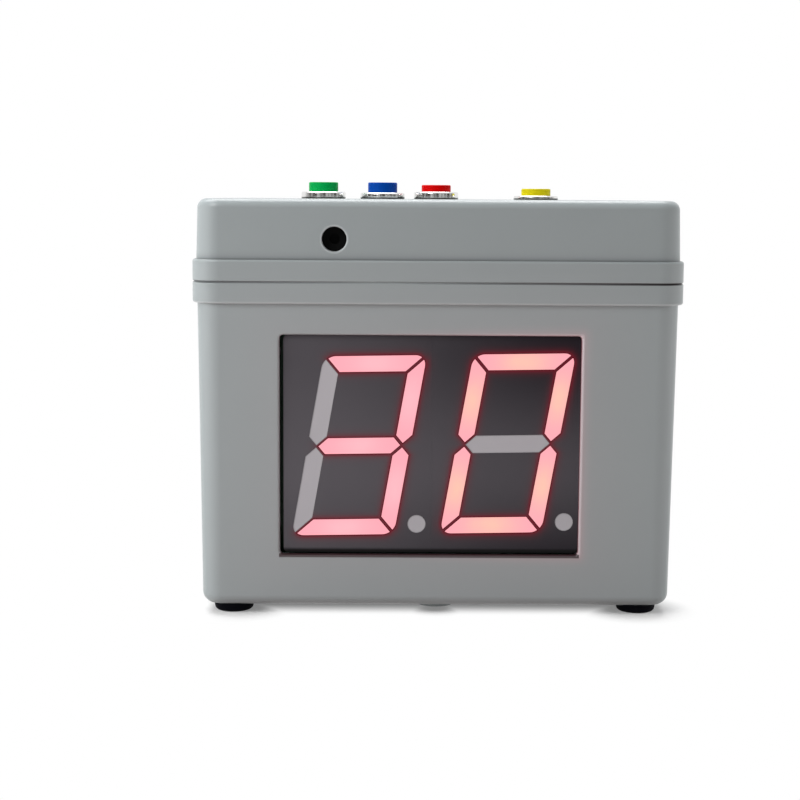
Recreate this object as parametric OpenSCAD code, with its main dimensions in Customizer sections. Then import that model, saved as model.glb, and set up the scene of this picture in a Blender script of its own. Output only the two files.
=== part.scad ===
// Cube game timer: two large red digits behind a window in a sealed square box,
// with four coloured push buttons on the lid and rubber feet under the body.
// The box stands on the XY plane and its window faces -Y. The origin lies on the
// ground under the middle of the box. Lengths are in millimetres.

/* [Box] */
// Width of the box across its flange
box_w = 120; // [112:1:140]
// Depth of the box across its flange
box_d = 120; // [112:1:140]
// Height of the closed box without its feet
box_h = 100; // [96:1:115]
// Height of the lid above the parting line
lid_h = 20; // [19:0.5:24]
// Wall thickness of the body and of the lid
wall = 2.6; // [2.3:0.1:3]
// Corner radius of the flange, seen from above
corner_r = 7; // [6.5:0.5:9]
// Height of the flange's lower half, on the body
body_lip_h = 5.2; // [4:0.1:7]
// Height of the flange's upper half, on the lid
lid_lip_h = 5.4; // [5:0.1:7]
// How far the body's wall stands back below the flange
body_inset = 1.15; // [0.8:0.05:1.5]
// How far the lid's wall stands back above the flange
lid_inset = 0.95; // [0.7:0.05:1.4]
// Draft of the body's walls in degrees
body_draft = 0.65; // [0.3:0.01:1]
// Draft of the lid's walls in degrees
lid_draft = 1.6; // [0.5:0.1:3]
// Radius of the body's bottom edge
bottom_fillet = 2.8; // [2:0.1:3.5]
// Radius of the lid's top edge
top_fillet = 2.3; // [1.5:0.1:3]
// Radius of the inner edges of both mouldings
inner_fillet = 1.2; // [0.6:0.1:1.5]
// Radius of the flange's outer edges
lip_round = 0.6; // [0.3:0.1:1]
// Chamfer that draws the parting line
parting_chamfer = 0.35; // [0.2:0.05:0.5]
// Diameter of the moulded pad under the front edge
pad_d = 9; // [6:0.5:12]
// Height of the moulded pad
pad_h = 1; // [0.6:0.1:1.5]
// Distance from the flange's front to the pad's middle
pad_setback = 10.5; // [10:0.5:20]

/* [Seal and lid screws] */
// Width of the sealing tongue on the body's rim
tongue_w = 1.2; // [0.8:0.1:1.5]
// Height of the sealing tongue
tongue_h = 1.6; // [1:0.1:2]
// Clearance at each side of the tongue in its groove
groove_clear = 0.2; // [0.15:0.05:0.3]
// Thickness of the gasket above the tongue
gasket_t = 1.4; // [1:0.1:2]
// Clearance at each side of the gasket in its groove
gasket_clear = 0.05; // [0.02:0.01:0.1]
// Diameter of the screw posts in the corners
post_d = 9.6; // [9:0.1:10]
// Space between a screw post and the gasket groove
post_clear = 0.5; // [0.3:0.1:1]
// Diameter of the lid screws
lid_screw_d = 3.5; // [3:0.1:4]
// Length of the lid screws under the head
lid_screw_len = 22; // [18:1:30]
// Diameter of the lid screws' heads
lid_head_d = 6.6; // [6:0.1:7]
// Height of the lid screws' heads
lid_head_h = 2.4; // [2:0.1:3]
// Depth of the screw head's seat below the lid's top
head_depth = 9; // [6:0.5:12]
// Clearance round a screw in its pilot hole
pilot_clear = 0.05; // [0.02:0.01:0.1]
// Clearance round a screw in the piece that it holds
screw_clear = 0.25; // [0.2:0.05:0.4]

/* [Feet] */
// Diameter of a rubber foot at its top
foot_d = 10; // [9:0.5:13]
// Height of a rubber foot
foot_h = 2.4; // [2:0.1:5]
// How much narrower a foot is at its bottom, on each side
foot_taper = 0.3; // [0.2:0.1:1]
// Radius of a foot's lower edge
foot_round = 1; // [0.3:0.1:1.2]
// Distance from the flange's edge to a foot's middle
foot_inset = 9.5; // [8:0.5:16]

/* [Digits and window] */
// Height of a digit
digit_h = 44.6; // [40:0.1:50]
// Width of a digit
digit_w = 25.4; // [22:0.1:28]
// Width of a segment
segment_w = 4.3; // [3.5:0.1:5]
// Gap between neighbouring segments
segment_gap = 0.4; // [0.3:0.05:0.7]
// Slant of the digits in degrees
slant = 11; // [6:0.5:12]
// Radius of a digit's outer corners
digit_round = 3; // [1:0.1:3.5]
// Diameter of the decimal dot
dot_d = 4.4; // [3:0.1:5]
// Distance of the dot's middle from the digit's right edge
dot_offset = 1.1; // [0.6:0.1:2]
// Height of the dot's middle above the foot of the digit
dot_rise = 2.7; // [2.5:0.1:4]
// Face beside a digit on each side
side_margin = 5.4; // [5:0.1:8]
// How far right of its housing's middle a digit sits
digit_shift = 0.45; // [0:0.05:0.6]
// Face above and below a digit
end_margin = 4.5; // [3:0.1:6]
// Depth of a digit's housing
module_depth = 10.2; // [9.5:0.1:12]
// Gap between the two digit housings
module_seam = 0.1; // [0.1:0.05:0.3]
// Turn of the pair of digits in the window, anticlockwise in degrees
digit_turn = 1; // [0:0.1:1.2]
// Distance of the display's face behind the front wall
face_recess = 1; // [0.6:0.1:1.5]
// Place of the window's middle across the front
window_x = -1.8; // [-4:0.1:4]
// Height of the window's middle above the body's underside
window_z = 40.1; // [38:0.1:42]
// Corner radius of the window
window_round = 1; // [0.5:0.1:2]
// Least clearance between the display and the edge of its window
window_clear = 0.12; // [0.1:0.01:0.5]
// How far right of the window's middle the display sits
display_shift_x = 0.4; // [0:0.05:0.5]
// How far above the window's middle the display sits
display_shift_z = 0.25; // [0:0.05:0.5]

/* [Boards] */
// Thickness of the small board behind each digit
led_board_t = 1.2; // [0.8:0.1:1.6]
// How far that board stands back from the housing's edge
led_board_inset = 0.8; // [0.4:0.1:1.5]
// Diameter of the digits' pins
pin_d = 0.6; // [0.5:0.05:0.8]
// Spacing of the digits' pins
pin_pitch = 2.54; // [2:0.01:3]
// Pins in each row
pins_per_row = 5; // [4:1:6]
// Distance of a pin row from the housing's end
pin_margin = 4.6; // [3:0.1:6]
// Clearance round a pin in a board
pin_clear = 0.1; // [0.05:0.01:0.2]
// Length of a pin behind the main board
pin_tail = 1.5; // [1:0.1:2]
// Thickness of the main board
board_t = 1.6; // [1.2:0.1:2]
// Main board beyond the digits, above and below
board_reach = 4; // [3:0.5:6]
// Corner radius of the main board
board_round = 1.5; // [0.5:0.1:3]
// Diameter of the bosses that carry the main board
boss_d = 6.4; // [6:0.1:7]
// Space between a boss and the window's edge
boss_clear = 0.8; // [0.5:0.1:1.5]
// Distance of a boss from the housing's end
boss_margin = 5; // [4:0.5:10]
// Diameter of the board screws
board_screw_d = 2.9; // [2.5:0.1:3]
// Length of the board screws under the head
board_screw_len = 9; // [7:0.5:10]
// Diameter of the board screws' heads
board_head_d = 5.4; // [5:0.1:5.8]
// Height of the board screws' heads
board_head_h = 1.9; // [1.5:0.1:2.2]

/* [Buttons] */
// Places of the four buttons across the lid: green, blue, red and yellow
button_x = [-30, -13.8, 0.9, 28.3]; // [-40:0.1:40]
// Place of the button row from front to back
button_y = 0; // [-10:1:20]
// How far each cap stands above its bezel
cap_rise = [2.6, 2.8, 1.9, 1.95]; // [1.8:0.05:4]
// Diameter of a button cap
cap_d = 8; // [6:0.1:8.5]
// Radius of a cap's upper edge
cap_round = 0.35; // [0.2:0.05:0.6]
// Clearance round a cap in its bezel
cap_clear = 0.2; // [0.15:0.05:0.3]
// Travel of a button
travel = 1.5; // [1:0.1:1.7]
// Height of each chromed bezel above the lid
bezel_h = [1.9, 1.7, 2, 1.1]; // [1:0.1:2.5]
// Width of the bezel's flange round the barrel
flange_w = 1.1; // [0.8:0.1:1.2]
// Radius of the bezel's upper edge
bezel_round = 0.5; // [0.2:0.1:0.8]
// Wall of the threaded barrel
barrel_wall = 0.8; // [0.6:0.1:1]
// Barrel below the nut
thread_spare = 4.2; // [3.5:0.1:5]
// Thickness of the web that guides the plunger
web_t = 3; // [2:0.1:3.5]
// Clearance round the barrel in the lid's hole
hole_clear = 0.15; // [0.1:0.05:0.3]
// Height of the hexagon nut under the lid
nut_h = 2.2; // [1.5:0.1:3]
// Nut beyond the thread, measured to a flat
nut_rim = 1.2; // [0.8:0.1:1.3]
// Clearance round the barrel in its nut
nut_clear = 0.05; // [0.02:0.01:0.1]
// Diameter of the plunger's stem
stem_d = 4; // [3:0.1:4.4]
// Clearance round the stem in its guide
stem_clear = 0.12; // [0.1:0.01:0.2]
// Depth of the stem's socket in the cap
socket_depth = 2; // [1.5:0.1:2.2]
// Clearance round the stem in its socket
socket_clear = 0.02; // [0.01:0.01:0.05]
// Length of the return spring
spring_len = 4.6; // [4.2:0.1:5]
// Wire of the return spring
spring_wire = 0.5; // [0.4:0.05:0.55]
// Turns of the return spring
spring_turns = 4; // [3:0.5:4]
// Free space at each end of the spring
spring_clear = 0.05; // [0.02:0.01:0.1]
// How much wider the switch base is than the barrel, on each side
base_shoulder = 0.2; // [0.1:0.1:0.5]
// Wall of the switch base
base_wall = 1.5; // [1.2:0.1:1.6]
// Floor of the switch base
base_floor = 3; // [2:0.1:4]
// Clearance round the contact bridge in its chamber
contact_clear = 0.5; // [0.3:0.1:0.6]
// Thickness of the contact bridge
contact_t = 0.4; // [0.3:0.05:0.6]
// Thickness of the plunger's collar
collar_t = 1; // [0.8:0.1:1.5]
// Step from the bridge's edge in to the collar
collar_step = 0.2; // [0.1:0.05:0.4]
// Rest gap between the collar and the web
collar_gap = 0.05; // [0.02:0.01:0.1]
// Diameter of the plunger's tip, which holds the bridge
tip_d = 2; // [1.5:0.1:2.4]
// Length of the tip below the bridge
tip_len = 0.6; // [0.4:0.1:0.6]
// Gap left between the bridge and the pads of the terminals at full travel
contact_gap = 0.05; // [0.02:0.01:0.1]
// Width of a terminal's contact pad
lug_pad_w = 1.4; // [1:0.1:1.6]
// Height of a terminal's contact pad
lug_pad_h = 0.8; // [0.7:0.1:1.2]
// Width of a solder lug
lug_w = 2; // [1.5:0.1:2.4]
// Thickness of a solder lug
lug_t = 0.5; // [0.4:0.05:0.7]
// Length of a solder lug below the base
lug_len = 5; // [4:0.5:7]
// Clearance round a lug in the base
lug_clear = 0.05; // [0.02:0.01:0.1]

/* [Buzzer] */
// Diameter of the sound hole in the lid's front
sound_d = 6; // [4:0.1:7]
// Place of the sound hole across the front
sound_x = -25.3; // [-32:0.1:32]
// Depth of the sound hole's middle below the lid's top
sound_drop = 9.6; // [9:0.1:10]
// Diameter of the buzzer
buzzer_d = 12; // [9:0.1:12.5]
// Length of the buzzer's case
buzzer_len = 9.5; // [8:0.1:11]
// Diameter of the opening in the buzzer's face
buzzer_port_d = 2.6; // [1.5:0.1:4]
// Depth of that opening
buzzer_port_depth = 1.5; // [1:0.1:3]
// Gap between the buzzer and the lid's front wall
buzzer_gap = 0.1; // [0.05:0.05:0.3]
// Clearance round the buzzer in its collar
buzzer_clear = 0.12; // [0.1:0.01:0.2]
// Space between the buzzer and the lid's roof
buzzer_roof = 0.4; // [0.2:0.1:1]
// Wall of the buzzer's collar
buzzer_collar_t = 1.2; // [1:0.1:1.6]
// Length of the collar behind the lid's front wall
buzzer_collar_len = 7; // [5:0.5:8]
// Length of the buzzer's pins
buzzer_pin_len = 3; // [2:0.5:5]
// Spacing of the buzzer's pins
buzzer_pin_pitch = 6.5; // [5:0.1:7.6]

/* [Battery pack] */
// Diameter of a battery cell
cell_d = 14.2; // [13.5:0.1:14.5]
// Length of a cell without its button
cell_len = 49.2; // [48:0.1:49.5]
// Diameter of a cell's button
cell_button_d = 5.2; // [4:0.1:5.5]
// Height of a cell's button
cell_button_h = 1.1; // [1:0.1:1.5]
// Number of cells
cell_count = 4; // [2:1:4]
// Clearance round a cell in its cradle
cell_clear = 0.15; // [0.1:0.05:0.3]
// Space between neighbouring cells
cell_space = 0.5; // [0.4:0.1:1]
// Wall of the battery holder
holder_wall = 1.6; // [1.2:0.1:2]
// Floor of the battery holder
holder_floor = 1.8; // [1.5:0.1:2.5]
// Height of the holder's end walls above its floor
holder_wall_h = 11; // [8:0.5:13]
// Height of the cradle ribs above the holder's floor
cradle_h = 5; // [3:0.5:6]
// Thickness of the cradle ribs
cradle_t = 3; // [2:0.5:4]
// Distance of the cradle ribs from the holder's middle
cradle_y = 20; // [18:0.5:21]
// Place of the holder's middle from front to back
holder_y = 12; // [8:1:18]
// Height of the bosses under the holder
holder_boss_h = 4; // [3:0.5:6]
// Diameter of the bosses under the holder
holder_boss_d = 6.4; // [6:0.1:8]
// Distance of those bosses from the holder's middle, front and back
holder_boss_y = 12; // [8:0.5:14]
// Diameter of the holder screws
holder_screw_d = 2.5; // [2:0.1:2.9]
// Length of the holder screws under the head
holder_screw_len = 5.2; // [4.5:0.1:5.5]
// Diameter of the holder screws' heads
holder_head_d = 4.6; // [4:0.1:5]
// Height of the holder screws' heads
holder_head_h = 1.4; // [1:0.1:1.6]
// Thickness of the battery contacts
plate_t = 0.5; // [0.3:0.05:0.8]
// Width of the battery contacts
plate_w = 9; // [7:0.5:11]
// Height of the battery contacts
plate_h = 8; // [6:0.5:9]
// Height of the boss on each contact that presses on the cell
plate_boss_h = 1.2; // [0.8:0.1:1.6]
// Diameter of that boss
plate_boss_d = 4; // [3:0.1:5]

/* [Board parts and leads] */
// Length of the controller chip
chip_len = 18; // [17.8:0.1:20]
// Width of the controller chip
chip_w = 7.5; // [6:0.1:8]
// Height of the controller chip
chip_h = 2.4; // [1.5:0.1:3]
// Legs on each side of the controller chip
chip_legs = 14; // [8:1:14]
// Length of a driver chip
driver_len = 10; // [9.8:0.1:11]
// Width of a driver chip
driver_w = 4; // [3.5:0.1:5]
// Height of a driver chip
driver_h = 1.6; // [1:0.1:2]
// Legs on each side of a driver chip
driver_legs = 8; // [6:1:8]
// Distance of the driver chips from the display's middle
driver_x = 25; // [22:0.5:26]
// Distance of the two small sockets from the display's middle
side_socket_x = 31; // [30:0.5:32]
// Length of a chip's leg beyond its body
leg_reach = 1.2; // [0.8:0.1:1.5]
// Width of a chip's leg
leg_w = 0.42; // [0.3:0.01:0.5]
// Spacing of the chips' legs
leg_pitch = 1.27; // [1.27:0.01:1.3]
// Length of a chip resistor
resistor_len = 2; // [1.6:0.1:2.4]
// Width of a chip resistor
resistor_w = 1.25; // [0.8:0.05:1.6]
// Height of a chip resistor
resistor_h = 0.55; // [0.4:0.05:0.8]
// Number of resistors beside each driver
resistor_count = 8; // [4:1:8]
// Spacing of the resistors
resistor_pitch = 2.2; // [1.8:0.1:2.4]
// Diameter of a capacitor can
can_d = 6.3; // [4:0.1:8]
// Height of a capacitor can
can_h = 7.7; // [5:0.1:10]
// Radius of the can's upper edge
can_round = 0.5; // [0.3:0.1:1]
// Distance of the capacitors from the display's middle
can_x = 10; // [8:0.5:14]
// Diameter of a lead
lead_d = 1.1; // [0.8:0.1:1.4]
// Spacing of the leads in a plug
lead_pitch = 2.5; // [2:0.1:2.6]
// Width of a plug beyond its outer leads
plug_margin = 1.6; // [1.2:0.1:2.5]
// Height of a plug
plug_h = 4.6; // [3:0.1:6]
// Length of a plug
plug_len = 6; // [5:0.5:8]
// Clearance round a plug in its socket
plug_clear = 0.15; // [0.1:0.05:0.2]
// Wall of a socket
socket_wall = 0.8; // [0.6:0.1:1]
// Floor of a socket
socket_floor = 1.2; // [1:0.1:2]
// How far a plug stands out of its socket
plug_proud = 1.2; // [0.5:0.1:2]
// Reach of a lead before it bends
lead_reach = 12; // [8:1:14]

/* [Hidden] */
$fn = 64;
// Small overlap that lets a cut pass clean through a face
over = 0.5;
arc_steps = 8;
small_arc_steps = 4;
lead_rings = 13;
lead_sides = 6;
spring_rings = 8;
// Cross slot of a screw, as shares of its head's diameter
slot_width_share = 0.13;
slot_length_share = 0.6;

case_grey = [0.6, 0.62, 0.63];
rubber_black = [0.07, 0.07, 0.07];
steel = [0.72, 0.73, 0.75];
chrome = [0.85, 0.86, 0.88];
brass = [0.8, 0.68, 0.36];
black_plastic = [0.12, 0.12, 0.13];
face_grey = [0.27, 0.265, 0.285];
lit_red = [1, 0.4, 0.42];
unlit_grey = [0.69, 0.68, 0.7];
board_green = [0.1, 0.36, 0.2];
white_nylon = [0.9, 0.9, 0.87];
lead_grey = [0.75, 0.72, 0.7];
lead_red = [0.6, 0.08, 0.08];
cell_green = [0.2, 0.35, 0.25];

button_names = ["green", "blue", "red", "yellow"];
cap_colours = [[0, 0.59, 0.24], [0, 0.28, 0.61], [0.84, 0.04, 0.06], [0.82, 0.75, 0.06]];
digit_names = ["left", "right"];
button_parts = ["cap", "plunger", "contact", "spring", "bezel", "base"];
digit_parts = ["housing", "lit_segments", "dark_segments", "led_board", "pins"];

// Levels of the box
base_z = foot_h;
floor_z = base_z + wall;
top_z = base_z + box_h;
roof_z = top_z - wall;
part_z = top_z - lid_h;
lip_z = part_z - body_lip_h;
ledge_z = part_z + lid_lip_h;

// Middles of the rounded corners
corner_x = box_w / 2 - corner_r;
corner_y = box_d / 2 - corner_r;

// Outer and inner faces of the walls, as distances from the corner's middle
function body_out(z) = corner_r - body_inset - (lip_z - z) * tan(body_draft);
function body_in(z) = body_out(z) - wall;
function lid_out(z) = corner_r - lid_inset - max(z - ledge_z, 0) * tan(lid_draft);
function lid_in(z) = lid_out(z) - wall;

// Tongue, groove and gasket in the middle of the rim
groove_w = tongue_w + 2 * groove_clear;
groove_h = tongue_h + gasket_t;
seal_u = (lid_in(part_z) + corner_r) / 2;

// Screw posts in the corners
post_u = seal_u - groove_w / 2 - post_clear - post_d / 2;
post_x = corner_x + post_u;
post_y = corner_y + post_u;
head_z = top_z - head_depth;

// Display
module_w = digit_w + 2 * side_margin;
module_h = digit_h + 2 * end_margin;
window_w = 2 * module_w + module_seam + 2 * (display_shift_x + window_clear);
window_h = module_h + 2 * (display_shift_z + window_clear);
window_mid_z = base_z + window_z;
display_x = window_x + display_shift_x;
display_z = window_mid_z + display_shift_z;
face_y = -(corner_y + body_out(window_mid_z)) + face_recess;
housing_back_y = face_y + module_depth;
board_front_y = housing_back_y + led_board_t;
board_back_y = board_front_y + board_t;
pin_row_z = module_h / 2 - pin_margin;
boss_x = window_w / 2 + boss_clear + boss_d / 2;
boss_z = module_h / 2 - boss_margin;
board_w = 2 * boss_x + boss_d;
board_h = module_h + 2 * board_reach;

// Buttons, measured from the lid's top
bore_d = cap_d + 2 * cap_clear;
thread_d = bore_d + 2 * barrel_wall;
bezel_d = thread_d + 2 * flange_w;
barrel_len = wall + nut_h + thread_spare;
seat_z = -barrel_len + web_t;
cap_foot_z = seat_z + spring_len;
base_d = thread_d + 2 * base_shoulder;
chamber_d = base_d - 2 * base_wall;
contact_d = chamber_d - 2 * contact_clear;
collar_d = contact_d - 2 * collar_step;
collar_top_z = -barrel_len - collar_gap;
contact_top_z = collar_top_z - collar_t;
contact_foot_z = contact_top_z - contact_t;
pad_top_z = contact_foot_z - travel - contact_gap;
chamber_floor_z = pad_top_z - lug_pad_h;
base_foot_z = chamber_floor_z - base_floor;
lug_foot_z = base_foot_z - lug_len;
lug_x = (contact_d - lug_pad_w) / 2;
spring_mean_d = (stem_d + bore_d) / 2;
spring_rise = spring_len - spring_wire - 2 * spring_clear;
spring_pitch = spring_rise / spring_turns;
echo(spring_gap = spring_pitch - spring_wire);

// Buzzer
sound_z = top_z - sound_drop;
buzzer_z = min(sound_z, roof_z - buzzer_d / 2 - buzzer_roof);
buzzer_y = -(corner_y + lid_in(buzzer_z + buzzer_d / 2)) + buzzer_gap;
buzzer_back_y = buzzer_y + buzzer_len;
collar_out_d = buzzer_d + 2 * (buzzer_clear + buzzer_collar_t);

// Battery pack
cell_pitch = cell_d + cell_space;
cell_row = (cell_count - 1) * cell_pitch;
contact_depth = plate_t + plate_boss_h;
holder_in_w = cell_count * cell_pitch;
holder_in_len = cell_len + cell_button_h + 2 * contact_depth;
holder_w = holder_in_w + 2 * holder_wall;
holder_len = holder_in_len + 2 * holder_wall;
holder_z = floor_z + holder_boss_h;
holder_top_z = holder_z + holder_floor;
cell_z = holder_top_z + cell_clear + cell_d / 2;
holder_screw_x = cell_pitch * (cell_count / 2 - 1);

// Sockets on the main board: middle from the display's middle, and number of leads
socket_places = [[0, pin_row_z], [-side_socket_x, pin_row_z - plug_h], [side_socket_x, -pin_row_z]];
socket_leads = [8, 2, 2];
socket_len = plug_len - plug_proud + socket_floor;
plug_y = board_back_y + socket_floor;
plug_back_y = plug_y + plug_len;

function arc(centre, r, from, to, steps = arc_steps) =
    [for (i = [0:steps]) let (a = from + (to - from) * i / steps) centre + r * [cos(a), sin(a)]];

function rounded_rectangle(w, h, r, steps = small_arc_steps) =
    let (x = w / 2 - r, y = h / 2 - r)
    concat(
        arc([x, y], r, 0, 90, steps), arc([-x, y], r, 90, 180, steps),
        arc([-x, -y], r, 180, 270, steps), arc([x, -y], r, 270, 360, steps)
    );

// Wall sections, outwards from the corner's middle and upwards
function body_section() =
    let (
        r = bottom_fillet,
        q = inner_fillet,
        outer = [body_out(base_z + r) - r / cos(body_draft), base_z + r],
        inner = [body_in(floor_z + q) - q / cos(body_draft), floor_z + q]
    )
    concat(
        [[0, base_z]],
        arc(outer, r, -90, -body_draft),
        [[body_out(lip_z), lip_z]],
        arc([corner_r - lip_round, lip_z + lip_round], lip_round, -90, 0, small_arc_steps),
        [[corner_r, part_z - parting_chamfer], [corner_r - parting_chamfer, part_z]],
        [[body_in(part_z), part_z]],
        arc(inner, q, -body_draft, -90, small_arc_steps),
        [[0, floor_z]]
    );

function lid_section() =
    let (
        r = top_fillet,
        q = inner_fillet,
        outer = [lid_out(top_z - r) - r / cos(lid_draft), top_z - r],
        inner = [lid_in(roof_z - q) - q / cos(lid_draft), roof_z - q]
    )
    concat(
        [[0, top_z]],
        arc(outer, r, 90, lid_draft),
        [[lid_out(ledge_z), ledge_z]],
        arc([corner_r - lip_round, ledge_z - lip_round], lip_round, 90, 0, small_arc_steps),
        [[corner_r, part_z + parting_chamfer], [corner_r - parting_chamfer, part_z]],
        [[lid_in(part_z), part_z], [lid_in(ledge_z), ledge_z]],
        arc(inner, q, lid_draft, 90, small_arc_steps),
        [[0, roof_z]]
    );

// Carries a wall section round the box: four straight sides and four round corners
module round_the_box() {
    for (k = [0:3]) {
        along = k % 2 == 0 ? corner_x : corner_y;
        out = k % 2 == 0 ? corner_y : corner_x;
        rotate(90 * k) {
            translate([-along, out, 0])
                rotate([90, 0, 90]) linear_extrude(2 * along) children();
            translate([along, out, 0])
                rotate_extrude(angle = 90) children();
        }
    }
}

// A flat strip of the rim, for the tongue, the groove and the gasket
module rim_strip(w, z, h) {
    round_the_box() translate([seal_u - w / 2, z]) square([w, h]);
}

module at_corners(x, y) {
    for (sx = [-1, 1], sy = [-1, 1]) translate([sx * x, sy * y, 0]) children();
}

// Turns a drawing to stand behind the front wall, from the depth y towards the front
module upright(y, depth) {
    translate([0, y, 0]) rotate([90, 0, 0]) linear_extrude(depth) children();
}

module middle_plate(z) {
    translate([-corner_x, -corner_y, z]) cube([2 * corner_x, 2 * corner_y, wall]);
}

module at_bosses() {
    for (sx = [-1, 1], sz = [-1, 1])
        translate([display_x + sx * boss_x, 0, display_z + sz * boss_z]) children();
}

module at_holder_bosses() {
    for (sx = [-1, 1], sy = [-1, 1])
        translate([sx * holder_screw_x, holder_y + sy * holder_boss_y, 0]) children();
}

// Box body: drafted walls with a flange, tongue, screw posts, bosses and the window
module body_shell() {
    boss_root_y = -(corner_y + body_in(display_z - boss_z) + wall / 2);
    color(case_grey) difference() {
        union() {
            round_the_box() polygon(body_section());
            middle_plate(base_z);
            rim_strip(tongue_w, part_z - over, tongue_h + over);
            at_corners(post_x, post_y) translate([0, 0, floor_z - over])
                cylinder(d = post_d, h = part_z - floor_z + over);
            at_bosses() translate([0, boss_root_y, 0])
                rotate([-90, 0, 0]) cylinder(d = boss_d, h = board_front_y - boss_root_y);
            at_holder_bosses() translate([0, 0, floor_z - over])
                cylinder(d = holder_boss_d, h = holder_boss_h + over);
            translate([0, pad_setback - box_d / 2, base_z - pad_h])
                cylinder(d = pad_d, h = pad_h + over);
        }
        translate([window_x, 0, window_mid_z]) upright(face_y + wall + over, box_d / 2)
            polygon(rounded_rectangle(window_w, window_h, window_round));
        at_corners(post_x, post_y) lid_pilot();
        at_bosses() translate([0, board_front_y - board_screw_len + board_t - over, 0])
            rotate([-90, 0, 0]) cylinder(d = board_screw_d + 2 * pilot_clear, h = board_screw_len);
        at_holder_bosses() translate([0, 0, holder_top_z - holder_screw_len - over])
            cylinder(d = holder_screw_d + 2 * pilot_clear, h = holder_screw_len);
    }
}

module lid_pilot() {
    depth = lid_screw_len - (head_z - part_z) + over;
    translate([0, 0, part_z - depth])
        cylinder(d = lid_screw_d + 2 * pilot_clear, h = depth + over);
}

// Lid: drafted cap with a flange, groove, screw wells, button holes and sound hole
module lid_shell() {
    collar_root_y = -(corner_y + lid_in(buzzer_z) + wall / 2);
    collar_len = wall / 2 + buzzer_collar_len;
    color(case_grey) difference() {
        union() {
            round_the_box() polygon(lid_section());
            middle_plate(roof_z);
            at_corners(post_x, post_y) translate([0, 0, part_z])
                cylinder(d = post_d, h = roof_z - part_z + over);
            translate([sound_x, collar_root_y, buzzer_z]) rotate([-90, 0, 0])
                cylinder(d = collar_out_d, h = collar_len);
        }
        rim_strip(groove_w, part_z - over, groove_h + over);
        at_corners(post_x, post_y) {
            translate([0, 0, part_z - over])
                cylinder(d = lid_screw_d + 2 * screw_clear, h = lid_h);
            translate([0, 0, head_z])
                cylinder(d = lid_head_d + 2 * screw_clear, h = head_depth + over);
        }
        for (x = button_x) translate([x, button_y, roof_z - over])
            cylinder(d = thread_d + 2 * hole_clear, h = wall + 2 * over);
        translate([sound_x, -box_d / 2, sound_z]) rotate([-90, 0, 0])
            cylinder(d = sound_d, h = corner_r - lid_in(sound_z) + over);
        translate([sound_x, buzzer_y - buzzer_gap / 2, buzzer_z]) rotate([-90, 0, 0])
            cylinder(d = buzzer_d + 2 * buzzer_clear, h = collar_len);
    }
}

module lid_gasket() {
    color(rubber_black) rim_strip(groove_w - 2 * gasket_clear, part_z + tongue_h, gasket_t);
}

// Pan-head screw standing on its head's seat, with a cross slot
module screw(d, len, head_d, head_h) {
    slot_w = head_d * slot_width_share;
    slot_len = head_d * slot_length_share;
    difference() {
        union() {
            translate([0, 0, -len]) cylinder(d = d, h = len + head_h / 2);
            rotate_extrude() polygon(concat(
                [[0, 0], [head_d / 2, 0]],
                arc([head_d / 2 - head_h / 2, head_h / 2], head_h / 2, 0, 90, small_arc_steps),
                [[0, head_h]]
            ));
        }
        for (a = [0, 90]) rotate(a) translate([-slot_len / 2, -slot_w / 2, head_h / 2])
            cube([slot_len, slot_w, head_h]);
    }
}

module lid_screws() {
    color(steel) at_corners(post_x, post_y) translate([0, 0, head_z])
        screw(lid_screw_d, lid_screw_len, lid_head_d, lid_head_h);
}

module rubber_feet() {
    foot_r = foot_d / 2;
    tread_r = foot_r - foot_taper;
    color(rubber_black) at_corners(box_w / 2 - foot_inset, box_d / 2 - foot_inset)
        rotate_extrude() polygon(concat(
            [[0, 0]],
            arc([tread_r - foot_round, foot_round], foot_round, -90, 0, small_arc_steps),
            [[foot_r, foot_h], [0, foot_h]]
        ));
}

module at_button(i) {
    translate([button_x[i], button_y, top_z]) children();
}

// Coloured button cap, with a socket for the plunger under it
module cap(i) {
    r = cap_d / 2;
    head_z = bezel_h[i] + cap_rise[i];
    socket_r = stem_d / 2 + socket_clear;
    color(cap_colours[i]) at_button(i) rotate_extrude() polygon(concat(
        [[socket_r, cap_foot_z], [r, cap_foot_z]],
        arc([r - cap_round, head_z - cap_round], cap_round, 0, 90, small_arc_steps),
        [[0, head_z], [0, cap_foot_z + socket_depth], [socket_r, cap_foot_z + socket_depth]]
    ));
}

// Plunger: stem in the cap, collar under the web and a tip through the bridge
module plunger(i) {
    color(white_nylon) at_button(i) rotate_extrude() polygon([
        [0, cap_foot_z + socket_depth],
        [0, contact_foot_z - tip_len],
        [tip_d / 2, contact_foot_z - tip_len],
        [tip_d / 2, contact_top_z],
        [collar_d / 2, contact_top_z],
        [collar_d / 2, collar_top_z],
        [stem_d / 2, collar_top_z],
        [stem_d / 2, cap_foot_z + socket_depth]
    ]);
}

module contact(i) {
    color(brass) at_button(i) translate([0, 0, contact_foot_z]) difference() {
        cylinder(d = contact_d, h = contact_t);
        translate([0, 0, -over]) cylinder(d = tip_d + 2 * socket_clear, h = contact_t + 2 * over);
    }
}

// Tube swept through rings of points round its middle line
module tube(middles, tangents, normals, d, sides) {
    rings = len(middles);
    points = [
        for (i = [0:rings - 1], j = [0:sides - 1])
            let (a = 360 * j / sides, along = tangents[i] / norm(tangents[i]))
            middles[i] + d / 2 * (cos(a) * normals[i] + sin(a) * cross(along, normals[i]))
    ];
    walls = [
        for (i = [0:rings - 2], j = [0:sides - 1], half = [0, 1])
            let (p = i * sides + j, q = i * sides + (j + 1) % sides)
            half == 0 ? [p, p + sides, q + sides] : [p, q + sides, q]
    ];
    first_end = [for (j = [1:sides - 2]) [0, j, j + 1]];
    last = (rings - 1) * sides;
    last_end = [for (j = [1:sides - 2]) [last, last + j + 1, last + j]];
    polyhedron(points, concat(walls, first_end, last_end));
}

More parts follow.
